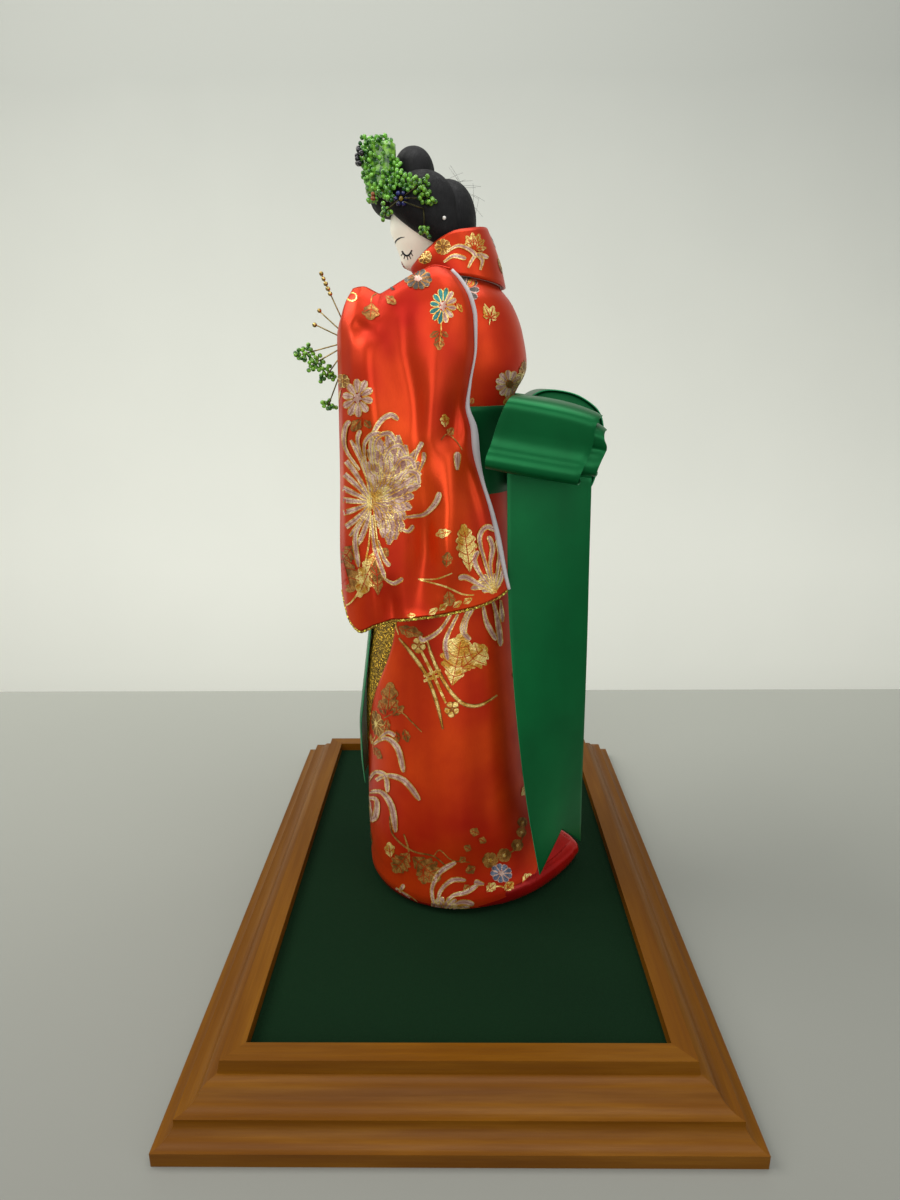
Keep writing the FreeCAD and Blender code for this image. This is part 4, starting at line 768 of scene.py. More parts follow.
def drum():
    """The ribbon wrapped round the bow's middle, over its pad."""
    outline = [Vector((0, BOW_SEAT + 41.0 * back, WAIST + 46.0 * up)) for back, up in DRUM_SHARES]
    ring = rounded(outline, 6)
    grid = [[point + Vector((RIBBON * (share - 0.5), 0, 0)) for point in ring] for share in shares(12)]
    cloth("bow_drum", grid, GREEN, 0.7, (0.18, 0.04), "folded", ["drum_pad", "obi_sash"], closed=True, offset=1.0,
          node="obi_drum", slot="ribbon")
    centre = sum(outline, Vector()) / len(outline)
    rings = [[centre + (point - centre) * scale + Vector((x, 0, 0)) for point in ring] for x, scale in
             ((-19.7, 0.6), (-19.5, 0.92), (-18, 0.97), (0, 0.97), (18, 0.97), (19.5, 0.92), (19.7, 0.6))]
    stack("drum_pad", rings, GREEN, node="obi_pillow", slot="padding")


def loop_front(x, z):
    """Where the bow's front edge lies: it sweeps forward outwards, and leans."""
    return BOW_SEAT + 6.0 - 12.7 * (x - 20.0) / 37.5 - (LOOP_TOP - z) * 0.35


def loops():
    """Two nested folded loops of ribbon on each side."""
    for side, side_name in SIDES:
        for label, inward, root in (("outer", 0.0, 20.3), ("inner", 4.0, 21.4)):
            tip = LOOP_REACH - inward
            high, low = LOOP_TOP - inward, LOOP_TOP - LOOP_HEIGHT + inward
            middle = (high + low) / 2
            outline = [(root, high - 1.0), (tip - 10.0, high + 0.6), (tip + 0.8, high - 1.2), (tip - 0.8, high - 9.0),
                       (tip - 3.2, low + 10.5), (tip + 1.4, low + 5.0), (tip - 0.4, low - 0.2), (tip - 9.0, low - 0.8),
                       (root, low + 4.0)]
            grid = []
            for point in open_curve([Vector((x, 0, z)) for x, z in outline], 8):
                row = []
                for share in shares(14):
                    x, z = point.x, point.z
                    if label == "inner":
                        share = share * 0.98 + 0.16
                    # The ribbon is pinched at the drum, hollow across its face and rolled at its back edge
                    pinch = 1.0 - 0.32 * (1.0 - eased((x - root) / (tip - root - 8.0)))
                    y = loop_front(x, z) + RIBBON * (share * pinch + 0.04 * (1 - pinch))
                    y -= 2.2 * share ** 6 * eased((z - middle) / 12)
                    y -= 1.6 * math.sin(math.pi * min(1.0, max(0.0, (high - z) / (high - low)))) * (1 - share)
                    z -= 1.6 * share ** 3 * eased((z - middle) / 8)
                    belly = 1.2 * math.sin(math.pi * share) * math.sin(math.pi * min(1.0, (x - root) / (tip - root)))
                    row.append(Vector((side * x, y, z - RIBBON_DROP * share + (belly if z > middle else -belly))))
                grid.append(row)
            cloth(f"{side_name}_{label}_bow", grid, GREEN, 0.5, (0.10, 0.04), "folded", ["bow_drum"], offset=0.0,
                  node=f"{side_name}_{label}_loop", slot="ribbon")


def tail_point(place, down):
    """A point on the left hanging tail: across from -1, its front edge, to 1, and its share of the way down."""
    sideways, rearward, turn = smooth_at(TAIL_SHARES, down)
    start = loop_front(TAIL_MIDDLE, TAIL_TOP)
    angle = math.radians(turn)
    across = Vector((-math.sin(angle), math.cos(angle), 0))
    point = Vector((TAIL_MIDDLE + sideways * RIBBON, start + RIBBON * (0.55 + rearward),
                    TAIL_TOP - (TAIL_TOP - TAIL_FOOT) * down))
    point += across * (place * RIBBON / 2)
    hollow = 0.8 * math.sin(math.pi * (place + 1) / 2) * math.sin(math.pi * down)
    point += Vector((across.y, -across.x, 0)) * hollow
    point.z += -RIBBON_DROP / RIBBON * (point.y - start) * (1 - down) ** 3
    # The foot is cut as a swallow's tail
    point.z += 18.0 * (1 - abs(place)) * down ** 12
    return point


def tails():
    for side, name in SIDES:
        grid = [[tail_point(place * 2 - 1, down) * Vector((side, 1, 1)) for place in shares(20)] for down in shares(80)]
        cloth(f"{name}_tail", grid, GREEN, 0.5, (0.04, 0.214), "hung", ["bow_drum"], offset=0.0,
              node=f"{name}_obi_tail", slot="ribbon")


def front_ribbon():
    top = WAIST - RIBBON / 2 - 0.3
    grid = []
    for down in shares(50):
        front = -SKIRT_FRONT * smooth_at(FRONT_RIBBON_SHARES, down)[0] - 0.8
        grid.append([Vector((FRONT_RIBBON * (share - 0.5), front + 1.9 * (2 * share - 1) ** 2 * eased(down * 3),
                             top - (top - FRONT_RIBBON_FOOT) * down)) for share in shares(8)])
    cloth("front_streamer", grid, PALE_GREEN, 0.5, (0.024, 0.163), "hung", ["obi_sash"], offset=0.0,
          node="front_ribbon", slot="ribbon")


# Collar and lapels

def collar_point(turn, up, inward):
    rise, foot = smooth_at(COLLAR_SHARES, math.sin(turn))
    low, high = COLLAR_FOOT + COLLAR_RISE * foot, COLLAR_FOOT + COLLAR_RISE * rise
    seat = torso_size(min(low, SHOULDER - 0.5))
    depth = seat[1] if math.sin(turn) > 0 else seat[0]
    out = 3.2 - inward
    foot_point = Vector(((seat[2] + out) * math.cos(turn), (depth + out) * math.sin(turn), low))
    rim = Vector(((23.5 - inward) * math.cos(turn), -3.5 + (18.8 - inward) * math.sin(turn), high))
    return foot_point.lerp(rim, up) + Vector((math.cos(turn), math.sin(turn), 0)) * math.sin(math.pi * up)


def collar():
    front = math.radians(-62.0)
    for label, node, material, slot, thickness, inward, show in (
            ("collar_band", "kimono_collar", ORANGE, "collar_cloth", 1.2, 0.0, 0.0),
            ("inner_collar", "under_collar", WHITE, "white_cloth", 0.6, 2.1, -0.4)):
        grid = [[collar_point(front + (math.pi - front * 2) * share, up, inward) + Vector((0, 0, show * up))
                 for share in shares(96)] for up in shares(14)]
        cloth(label, grid, material, thickness, (0.125, 0.022), "folded", ["torso_cloth"], node=node, slot=slot)


def chest_point(middle, aside, level, outward):
    front, back, half, taper = torso_size(level)
    turn = math.asin(max(-1.0, min(1.0, middle / half))) + aside * 2 / (front + half)
    return Vector(((half + outward) * math.sin(turn), -(front + outward) * math.cos(turn), level))


def lapels():
    top, low = COLLAR_FOOT - 0.3, WAIST + RIBBON / 2 + 0.3
    for label, side, over in (("right_lapel", -1, 0.0), ("left_lapel", 1, 1.1)):
        grid = []
        for share in shares(24):
            level = top + (low - top) * share
            middle = side * LAPEL * (1.35 - 1.75 * share)
            near = 1.2 + over * min(1.0, share * 2)
            grid.append([chest_point(middle, LAPEL * (place - 0.5), level, near) for place in shares(10)])
        cloth(f"{label}_band", grid, ORANGE, 0.8, (0.013, 0.065), "folded", ["torso_cloth"], offset=0.0,
              node=label, slot="collar_cloth")


# Sleeves, arms and hands

def sleeve_place(across, down):
    """The (y, z) place of a share across and a share down the sleeve's outline."""
    front = -SLEEVE_FRONT * smooth_at(SLEEVE_FRONT_SHARES, down)[0]
    back = SLEEVE_BACK * smooth_at(SLEEVE_BACK_SHARES, down)[0]
    top = smooth_at(SLEEVE_TOP_SHARES, across)[0]
    foot = smooth_at(SLEEVE_FOOT_SHARES, across)[0]
    return front + (back - front) * across, SHOULDER - SLEEVE_LENGTH * (top + (foot - top) * down)


def fold_height(y, z):
    total = 0.0
    for height, width, run in SLEEVE_FOLD_RUNS:
        near = []
        for index, (a, b) in enumerate(zip(run, run[1:])):
            dy, dz = b[0] - a[0], b[1] - a[1]
            held = min(max(((y - a[0]) * dy + (z - a[1]) * dz) / (dy * dy + dz * dz), 0.0), 1.0)
            near.append((math.hypot(y - a[0] - dy * held, z - a[1] - dz * held), (index + held) / (len(run) - 1)))
        distance, along = min(near, key=lambda pair: pair[0])
        total += 1.8 * height * bump(distance, width) * (0.35 + 0.65 * math.sin(math.pi * along))
    return total


def sleeve_face(across, down):
    """A point of the left sleeve's outer face."""
    y, z = sleeve_place(across, down)
    full = smooth_at(SLEEVE_FULLNESS_SHARES, down)[0] * smooth_at(SLEEVE_ACROSS_SHARES, across)[0]
    rim = eased(min(across, 1 - across) * 7) * eased(down * 9)
    return Vector((SLEEVE_INNER + SLEEVE_THICK * full + fold_height(y, z) * rim, y, z))


def crowded(count):
    """Shares that lie closer together near both ends."""
    return [step - math.sin(2 * math.pi * step) / 12 for step in shares(count)]


def sleeves():
    columns, rows, seam = crowded(72), crowded(96), SLEEVE_INNER + 2.0
    # Rows that close the bag over its top edge and under its lower one
    ends = [(0.05, 0.9), (0.55, 0.55), (0.85, 0.2)]
    plan = [(0.0, closing, -rise) for closing, rise in ends] + [(down, 1.0, 0.0) for down in rows]
    plan += [(1.0, closing, rise) for closing, rise in reversed(ends)]
    for side, name in SIDES:
        grid = []
        for down, closing, rise in plan:
            # The inner side leans in to the shoulder at its top
            lean = 13.0 * (1 - eased(down / 0.24))
            row = []
            for across in reversed(columns):
                x, y, z = sleeve_face(across, down)
                x = seam + (x - seam) * closing - lean * 0.6 * (1 - closing)
                row.append(Vector((side * x, y, z - rise)))
            for across in columns[1:]:
                y, z = sleeve_place(across, down)
                x = seam + (SLEEVE_INNER + 0.4 - seam) * closing
                x -= lean * (0.6 + 0.4 * closing) * eased(3.5 - 4.2 * across)
                row.append(Vector((side * x, y, z - rise)))
            grid.append(row if side > 0 else row[::-1])
        cloth(f"{name}_sleeve_cloth", grid, ORANGE, 0.5, (0.15, 0.15), "hung", ["torso_cloth", f"{name}_limb"],
              node=f"{name}_sleeve", slot="brocade")
        sleeve_edges(side, name)


def sleeve_edges(side, name):
    """The piping down the sleeve's back edge, and the twisted gold cord under its lower one."""
    mirror = Vector((side, 1, 1))
    path = [(sleeve_face(1.0, down) + Vector((-0.3, 0.7, 0))) * mirror for down in shares(110)]
    radii = [0.75 + 0.25 * math.sin(down * 17) + 1.1 * bump(down - 0.52, 0.09) + 0.35 * eased((down - 0.5) / 0.2)
             for down in shares(110)]
    stack(f"{name}_sleeve_roll", tube_rings(path, radii, 10), PIPING, node=f"{name}_sleeve_piping", slot="piping")
    heap = Heap()
    middle = [(sleeve_face(across, 1.0) + Vector((-0.9, 0, -0.8))) * mirror for across in shares(150)]
    for start in (0, math.pi):
        heap.tube([point + Vector((math.cos(index * 0.9 + start), 0, math.sin(index * 0.9 + start))) * 0.32
                   for index, point in enumerate(middle)], 0.5, 6)
    heap.piece(f"{name}_gold_edge", GOLD_CORD, node=f"{name}_sleeve_cord", slot="gold_cord")


def arms():
    for side, name in SIDES:
        run = [Vector((side * ARM_REACH * out, y, ARM_LEVEL - drop))
               for out, y, drop in ((0.62, 0, 0), (0.94, -4.56, 1.65), (1.0, -19.0, 5.5), (0.84, -38.0, 7.15))]
        path = open_curve(run, 8)
        radii = [5.3 - 1.9 * eased(index / (len(path) - 1)) for index in range(len(path))]
        limb = stack(f"{name}_limb", tube_rings(path, radii, 20), [LIMB, ORANGE], node=f"{name}_arm", slot="limb")
        for polygon in limb.data.polygons:
            polygon.material_index = int(polygon.center.y > -0.026)
        hand(side, name, run[-1] + (run[-1] - run[-2]).normalized() * (3.6 * 0.62 + 0.3))


def hand(side, name, start):
    """A palm with four fingers that curl and a thumb."""
    heap = Heap()
    inward = Vector((-side * 0.82, -0.45, -0.36)).normalized()
    across = inward.cross(Vector((0, 0, 1))).normalized()
    upward = across.cross(inward)
    palm = [start + inward * 14.0 * share for share in (0.0, 0.12, 0.3, 0.45, 0.55)]
    heap.tube(palm, [2.6, 3.1, 3.5, 3.3, 2.4], 12, flat_share=0.75)
    for finger in range(4):
        root = palm[3] + upward * (finger - 1.5) * 1.45
        tip = root + inward * (6.6 - abs(finger - 1.3) * 0.7)
        curl = across * side
        heap.tube([root, root.lerp(tip, 0.35), root.lerp(tip, 0.7) + curl * 0.5, tip + curl * 1.3, tip + curl * 1.9],
                  [0.85, 0.85, 0.8, 0.65, 0.3])
    thumb = palm[1] + upward * 2.4
    heap.tube([thumb + inward * far + upward * up for far, up in ((0, 0), (2.2, 0.8), (4.6, 0.5), (5.4, 0))],
              [1.1, 1.0, 0.8, 0.3])
    heap.piece(f"{name}_palm", LIMB, node=f"{name}_hand", slot="limb")


# Head and hair

def head():
    heap = Heap()
    rings = []
    for z in [-18.3 + 36.6 * share for share in shares(40)]:
        half, deep = smooth_at(HEAD_SHARES, z / 18.5)
        rings.append([HEAD_MIDDLE + Vector((15.0 * half * math.cos(turn), 18.0 * deep * math.sin(turn), z))
                      for turn in turns(64)])
    heap.add(rings)
    heap.tube([Vector((0, -7, 340.6)), Vector((0, -7, 346)), Vector((0, -8, 352))], [6.4, 6.0, 6.4], 32)
    heap.piece("face_and_neck", FACE, node="head", slot="face", body="head")


def hair():
    details = dict(slot="hair", body="head")
    rings = []
    for z in [-10.0 + 30.0 * share for share in shares(24)]:
        half, deep = smooth_at(HEAD_SHARES, min(1.0, z / 20.0))
        back = 2.0 + 0.5 * max(0.0, 2.0 - z)
        thin = 1.0 - 0.05 * max(0.0, -4.0 - z)
        rings.append([HEAD_MIDDLE + Vector((16.5 * half * thin * math.cos(turn),
                                            back + 17.6 * deep * thin * math.sin(turn), z)) for turn in turns(48)])
    stack("scalp_hair", rings, HAIR, node="hair_cap", **details)
    for label, middle, half in WADS:
        rings = []
        for share in shares(28):
            up = 0.5 - 0.5 * math.cos(math.pi * share)
            out = math.sin(math.pi * share) ** 0.9 if 0 < share < 1 else 0.02
            # The wings are swept back below their middles
            swept = 0.62 * max(0.0, 1 - up * 2) * half[2] if "wing" in label else 0.0
            rings.append([middle + Vector((half[0] * out * math.cos(turn) * (1 - 0.02 * swept),
                                           half[1] * out * math.sin(turn) * (1 - 0.035 * swept) + swept,
                                           half[2] * (up * 2 - 1) + 0.15 * swept)) for turn in turns(40)])
        stack(f"{label}_hair", rings, HAIR, node=label, **details)
    heap = Heap()
    for number in range(16):
        away = Vector((random.uniform(-0.5, 0.5), random.uniform(-0.1, 1.0), random.uniform(0.1, 0.9))).normalized()
        start = BACK_ROLL + away * Vector((15.5, 12.5, 16.5))
        aside = Vector((random.uniform(-0.4, 0.4), -away.z, away.y)) * random.choice((-1, 1))
        length = random.uniform(5.0, 11.0)
        path = [start + away * (length * 0.45 * share) + aside * (length * share ** 1.5) for share in shares(8)]
        heap.tube(path, 0.045, 4)
    heap.piece("loose_hairs", HAIR, **details)


# Beadwork from the solids' own places

def middle_of(points):
    return sum(points, Vector()) / len(points)


def loose_parts(node):
    """The separate bodies of a CAD node, each as a list of its points in millimetres."""
    mesh = NODES[node].data
    keys = [tuple(round(value, 6) for value in vertex.co) for vertex in mesh.vertices]
    places = {}
    for key in keys:
        places.setdefault(key, len(places))
    parent = list(range(len(places)))

    def root(item):
        while parent[item] != item:
            parent[item] = parent[parent[item]]
            item = parent[item]
        return item

    for polygon in mesh.polygons:
        first, *others = [places[keys[vertex]] for vertex in polygon.vertices]
        for other in others:
            parent[root(other)] = root(first)
    bodies = {}
    for key, number in places.items():
        bodies.setdefault(root(number), []).append(Vector(key) / MM)
    return sorted(bodies.values(), key=lambda points: tuple(middle_of(points)))


class Beads(Heap):
    """Seed beads that keep clear of each other."""

    def __init__(self):
        super().__init__()
        self.centres = []

    def seed(self, centre, kind=0, diameter=BEAD, room=0.78):
        if all((centre - other).length > diameter * room for other in self.centres):
            self.centres.append(centre)
            heading = Vector([random.uniform(-1, 1) for _ in range(3)])
            self.bead(centre, diameter * random.uniform(0.94, 1.04), kind, heading)

    def loop(self, centre, outward, radius):
        """A small loop of five beads on one wire, lying across a direction."""
        aside = outward.orthogonal().normalized()
        third = outward.normalized().cross(aside)
        start = random.uniform(0, 6.28)
        for turn in [start + turn for turn in turns(5)]:
            self.seed(centre + (aside * math.cos(turn) + third * math.sin(turn)) * radius)


def bead_piece(node, name, materials, body, slot, diameter=BEAD, extra=0, choose=lambda centre: 0):
    """Beads in the places of a node's own, and extra ones beside each of them."""
    heap = Beads()
    centres = [middle_of(points) for points in loose_parts(node)]
    for centre in centres:
        heap.seed(centre, choose(centre), diameter, 0.2)
    for centre in centres * extra:
        way = Vector([random.uniform(-1, 1) for _ in range(3)]).normalized()
        heap.seed(centre + way * diameter * 0.94, choose(centre), diameter)
    heap.piece(name, materials, node=node, slot=slot, body=body)


def crown():
    """The crown: loops of green beads all over a wired column, and clumps that lie back over the hair."""
    green, black, amber = range(3)
    waist = 382.0
    heap = Beads()
    for centre in ((13.0, -41.8, 391.0), (16.0, -41.4, 389.6), (12.0, -42.6, 388.4), (15.0, -42.2, 386.6),
                   (18.0, -40.0, 388.0), (12.5, -42.4, 385.4), (16.5, -41.2, 384.4), (9.0, -41.6, 387.5)):
        heap.seed(Vector(centre), black, 2.6)
    for index in range(130):
        z = random.uniform(371.5, 393.5)
        turn = random.uniform(0, 2 * math.pi)
        outward = Vector((math.cos(turn), math.sin(turn), random.uniform(-0.4, 0.4) + 0.2))
        reach = 6.2 * (1.0 - 0.16 * eased((waist - z) / 12))
        centre = CROWN + Vector((reach * math.cos(turn), (waist - z) * 0.12 + reach * math.sin(turn), z))
        heap.loop(centre, outward, random.uniform(1.6, 2.5))
    for index in range(26):
        turn = random.uniform(0, 2 * math.pi)
        reach = random.uniform(0, 5.0)
        z = random.uniform(393.4, 395.0)
        heap.loop(CROWN + Vector((reach * math.cos(turn), reach * math.sin(turn) - 0.6, z)), Vector((0, 0, 1)), 1.8)
    for place, wide in (((16.5, -26.5, 384.5), 2.0), ((19.0, -27.5, 379.5), 2.4), ((21.0, -24.5, 377.0), 2.2),
                        ((18.5, -30.5, 376.0), 2.4), ((22.0, -20.5, 375.0), 1.5), ((21.0, -29.5, 372.0), 2.0)):
        for index in range(8):
            centre = Vector(place) + Vector([random.uniform(-1, 1) * wide * share for share in (0.35, 1.0, 1.0)])
            outward = Vector((1.0, random.uniform(-0.5, 0.3), random.uniform(-0.3, 0.5)))
            heap.loop(centre, outward, random.uniform(1.4, 2.1))
    for centre in ((20.0, -35.5, 371.5), (20.3, -35.5, 369.8), (19.0, -34.5, 373.0)):
        heap.seed(Vector(centre), amber)
    heap.piece("bead_crown", [GREEN_BEADS, BLACK_BEADS, AMBER_BEADS], node="crown_beads", slot="green_beads",
               body="head")


def wire_piece(node, name, material, body):
    heap = Heap()
    for points in loose_parts(node):
        centre = middle_of(points)
        far = max(points, key=lambda point: (point - centre).length)
        other = max(points, key=lambda point: (point - far).length)
        heap.tube([far, far.lerp(other, 0.5), other], 0.3)
    heap.piece(name, material, node=node, slot="wire", body=body)


def beads():
    crown()

    def flower_kind(centre):
        """The flower's middle bead is yellow, and its petals are blue."""
        return int(abs(centre.y + 23.2) < 0.6 and abs(centre.z - 369.3) < 0.6)

    bead_piece("flower_beads", "bead_flower", [BLUE_BEADS, YELLOW_BEADS], "head", "flower", choose=flower_kind)
    bead_piece("sprig_beads", "bead_sprigs", LEAF_BEADS, "head", "leaf_beads", extra=4)
    bead_piece("hairpin", "hairpin_bead", PEARL, "head", "gold_beads", 1.8)
    bead_piece("dangle_beads", "hanging_beads", LEAF_BEADS, "dangle", "leaf_beads", extra=2)
    bead_piece("spray_gold_beads", "gold_bead_sprig", GOLD_BEADS, "doll", "gold_beads")
    bead_piece("spray_leaf_beads", "leaf_bead_spray", LEAF_BEADS, "doll", "leaf_beads", extra=5)
    wire_piece("sprig_wires", "sprig_wire", DARK_WIRE, "head")
    wire_piece("dangle_wire", "hanging_wire", DARK_WIRE, "dangle")
    wire_piece("spray_stems", "spray_wire", WIRE, "doll")
    rings = [[CROWN + Vector((6.2 * math.cos(turn), 0.7 + 6.9 * math.sin(turn), z)) for turn in turns(20)]
             for z in (373.5, 378, 384, 390, 392.5)]
    stack("crown_wadding", rings, LEAF_BEADS, node="crown_pad", slot="hair", body="head")


# Woven flowers

# Width of a petal along it, from its root to its tip
LONG_PETAL = [(0.0, 0.30), (0.3, 0.62), (0.7, 0.95), (0.88, 0.90), (1.0, 0.30)]
ROUND_PETAL = [(0.0, 0.25), (0.4, 0.85), (0.7, 1.0), (0.9, 0.75), (1.0, 0.35)]
LEAF_PETAL = [(0.0, 0.15), (0.3, 0.85), (0.55, 1.0), (0.8, 0.6), (1.0, 0.08)]
DOME_PETAL = [(0.0, 0.20), (0.3, 0.55), (0.7, 0.95), (0.86, 1.0), (0.94, 0.8), (1.0, 0.3)]
STEM = [(0.0, 0.8), (0.5, 1.0), (1.0, 0.7)]
STICK = [(0, 0.3), (0.3, 1), (0.7, 1), (1, 0.25)]


def curve_through(points, steps):
    """A smooth curve of (u, v) places through the given ones."""
    if len(points) == 2:
        return [tuple(a + (b - a) * step / steps for a, b in zip(*points)) for step in range(steps + 1)]
    result = []
    for index in range(len(points) - 1):
        corners = (points[max(index - 1, 0)], points[index], points[index + 1], points[min(index + 2, len(points) - 1)])
        for step in range(steps + (index == len(points) - 2)):
            t = step / steps
            result.append(tuple(0.5 * (2 * b + (c - a) * t + (2 * a - 5 * b + 4 * c - d) * t * t
                                       + (3 * b - a - 3 * c + d) * t ** 3) for a, b, c, d in zip(*corners)))
    return result


class Brocade(Heap):
    """Flowers woven on one cloth, drawn flat and then laid on it along rays."""

    # A quad longer than this, in millimetres, has fallen across a fold's edge. A cloth nearly along
    # the ray takes no thread, and each stroke lies a little higher than the last.
    longest, steepest, layer_step, layer_most = 6.0, -0.12, 0.002, 0.12

    def __init__(self, ground, ray, pixel):
        super().__init__()
        self.tree = BVHTree.FromObject(bpy.data.objects[ground], bpy.context.evaluated_depsgraph_get())
        self.ray = ray
        self.pixel = pixel
        self.level = 0.0

    def raised_level(self):
        self.level += self.layer_step
        return self.level % self.layer_most

    def lay(self, u, v, lift):
        """The place on the cloth that the drawing's point falls on, a little above it."""
        start, heading = self.ray(u, v)
        hit, normal = self.tree.ray_cast(start, heading)[:2]
        if hit is None or normal.dot(heading) > self.steepest:
            return None
        self.points.append((hit + normal * (lift * MM)) / MM)
        return len(self.points) - 1

    def strip(self, rows, lift, kind):
        """Quads between rows of (u, v) places. A quad is left out where a place misses the cloth."""
        laid = [[self.lay(u, v, lift) for u, v in row] for row in rows]
        for first, second in zip(laid, laid[1:]):
            for index in range(len(first) - 1):
                quad = (first[index], first[index + 1], second[index + 1], second[index])
                if None in quad:
                    continue
                spread = [self.points[corner] for corner in quad]
                if max((a - b).length for a, b in zip(spread, spread[1:])) <= self.longest:
                    self.faces.append(quad)
                    self.kinds.append(kind)

    def stroke(self, path, width, kind, lift=0.16, profile=STEM, rim=None, steps=5, lanes=3):
        """A stroke of thread along a path, with a thin rim of another thread. Silver has a pink middle line."""
        line = curve_through(path, steps)
        count = len(line)
        offsets = []
        for index, (u, v) in enumerate(line):
            before, after = line[max(index - 1, 0)], line[min(index + 1, count - 1)]
            du, dv = after[0] - before[0], after[1] - before[1]
            size = math.hypot(du, dv) or 1.0
            offsets.append((u, v, -dv / size, du / size, width / 2 * smooth_at(profile, index / (count - 1))[0]))
        lift += self.raised_level()

        def rows(spread, beyond=0.0):
            """Rows across the stroke, at shares of its half width or beyond its edge on a side."""
            return [[(u + a * reach, v + b * reach) for reach in
                     ([half * lane for lane in spread] if not beyond else
                      [beyond * (half + self.pixel * 0.36 * out) for out in spread])] for u, v, a, b, half in offsets]

        self.strip(rows([lane / (lanes - 1) * 2 - 1 for lane in range(lanes)]), lift, kind)
        if rim is None:
            return
        if kind == SILVER and width > self.pixel * 1.2:
            self.strip(rows((-0.16, 0.16)), lift + 0.04, PINK)
        self.strip(rows((0.65, -0.35), -1), lift + 0.05, rim)
        self.strip(rows((-0.35, 0.65), 1), lift + 0.05, rim)

    def curls(self, lift, *drawn):
        """Long silver petals with gold rims, each given as its width and its places."""
        for width, *path in drawn:
            self.stroke(path, width, SILVER, lift, LONG_PETAL, GOLD)

    def petal(self, root, tip, width, kind, rim=GOLD, bend=0.0, profile=LONG_PETAL, lift=0.16, steps=7):
        """A petal from its root to its tip, bent to one side by a share of its length."""
        du, dv = tip[0] - root[0], tip[1] - root[1]
        middle = ((root[0] + tip[0]) / 2 - dv * bend, (root[1] + tip[1]) / 2 + du * bend)
        path = [tuple(bent(a, b, c, t) for a, b, c in zip(root, middle, tip)) for t in shares(steps)]
        self.stroke(path, width, kind, lift, profile, rim, steps=1)

    def blossom(self, centre, radius, petals, kind, middle=GOLD, squash=1.0, lean=0.0, rim=GOLD, turn=0.0):
        """A flower seen from its front: a ring of petals round a middle."""
        def place(angle, reach):
            u, v = math.cos(angle) * reach, math.sin(angle) * reach * squash
            return (centre[0] + u * math.cos(lean) - v * math.sin(lean),
                    centre[1] + u * math.sin(lean) + v * math.cos(lean))

        for angle in [turn + angle for angle in turns(petals)]:
            shade = kind[math.cos(angle) > 0.2] if isinstance(kind, tuple) else kind
            self.petal(place(angle, radius * 0.28), place(angle, radius), radius * 4.4 / petals, shade, rim,
                       profile=ROUND_PETAL, steps=5)
        for angle in turns(5):
            self.petal(place(angle + math.pi, radius * 0.05), place(angle, radius * 0.3), radius * 0.24, middle,
                       None, profile=ROUND_PETAL, steps=3, lift=0.3)

    def leaf(self, root, tip, width, kind, lobes):
        """A leaf with a lobed edge, a middle vein and a vein to each lobe."""
        du, dv = tip[0] - root[0], tip[1] - root[1]
        waves = lobes + 0.5

        def place(share, lane):
            swell = math.sin(math.pi * (share * 0.92 + 0.05)) ** 0.8
            half = width * swell * (0.62 + 0.38 * abs(math.sin(math.pi * share * waves)) ** 0.7)
            along = share + 0.14 * lane * lane * (1 - share)
            return root[0] + du * along - dv * lane * half, root[1] + dv * along + du * lane * half

        lift = 0.16 + self.raised_level()
        self.strip([[place(share, lane) for lane in (-1, -0.5, 0, 0.5, 1)] for share in shares(lobes * 6 + 2)],
                   lift, kind)
        for index in range(lobes):
            share = (index + 0.5) / waves
            for side in (1, -1):
                self.petal(place(max(0.0, share - 0.5 / waves), 0), place(share, 0.86 * side), self.pixel * 0.26,
                           GROUND, None, 0.1 * side, STEM, 0.34, steps=4)
        self.stroke([root, place(0.86, 0)], self.pixel * 0.30, GROUND, 0.36, steps=6, lanes=2)

    def leaves(self, *drawn):
        for root, tip, width, kind, lobes in drawn:
            self.leaf(root, tip, width, kind, lobes)

    def dome(self, root, edge, layers, count, width):
        """A chrysanthemum seen from the side: layers of silver petals from one root to an edge of places."""
        for layer in range(layers):
            share = 1.0 - layer / layers * 0.66
            across = max(4, round(count * (0.35 + 0.65 * share)))
            for index in range(across):
                place = (index + 0.5 * (layer % 2) + 0.25) / (across + 0.25) * (len(edge) - 1)
                low = min(int(place), len(edge) - 2)
                tip = tuple(a + (b - a) * (place - low) for a, b in zip(edge[low], edge[low + 1]))
                wobble = 1.0 + 0.03 * math.sin(index * 2.7 + layer * 1.9)
                start, end = (tuple(r + (t - r) * share * reach for r, t in zip(root, tip)) for reach in (0.12, wobble))
                self.petal(start, end, width, SILVER if (index + layer) % 3 else PINK, GOLD,
                           0.34 * math.cos(math.pi * place / (len(edge) - 1)), DOME_PETAL, 0.14 + layer * 0.05, 8)

    def finish(self, name, mirror=None, slot="brocade", body="doll", threads=THREADS):
        """The drawing as one mesh, and the same mirrored for the other side of the doll."""
        for label, side in [(name, 1)] + ([(mirror, -1)] if mirror else []):
            points = [point * Vector((side, 1, 1)) for point in self.points]
            faces = self.faces if side > 0 else [face[::-1] for face in self.faces]
            mesh_piece(label, points, faces, threads, self.kinds, slot=slot, shade=False, body=body)


CAMERA_PLACE = Vector((0.37858, 0.000804, 0.292454))
CAMERA_PIXELS = 740.0
PHOTO_MIDDLE = (450, 600)


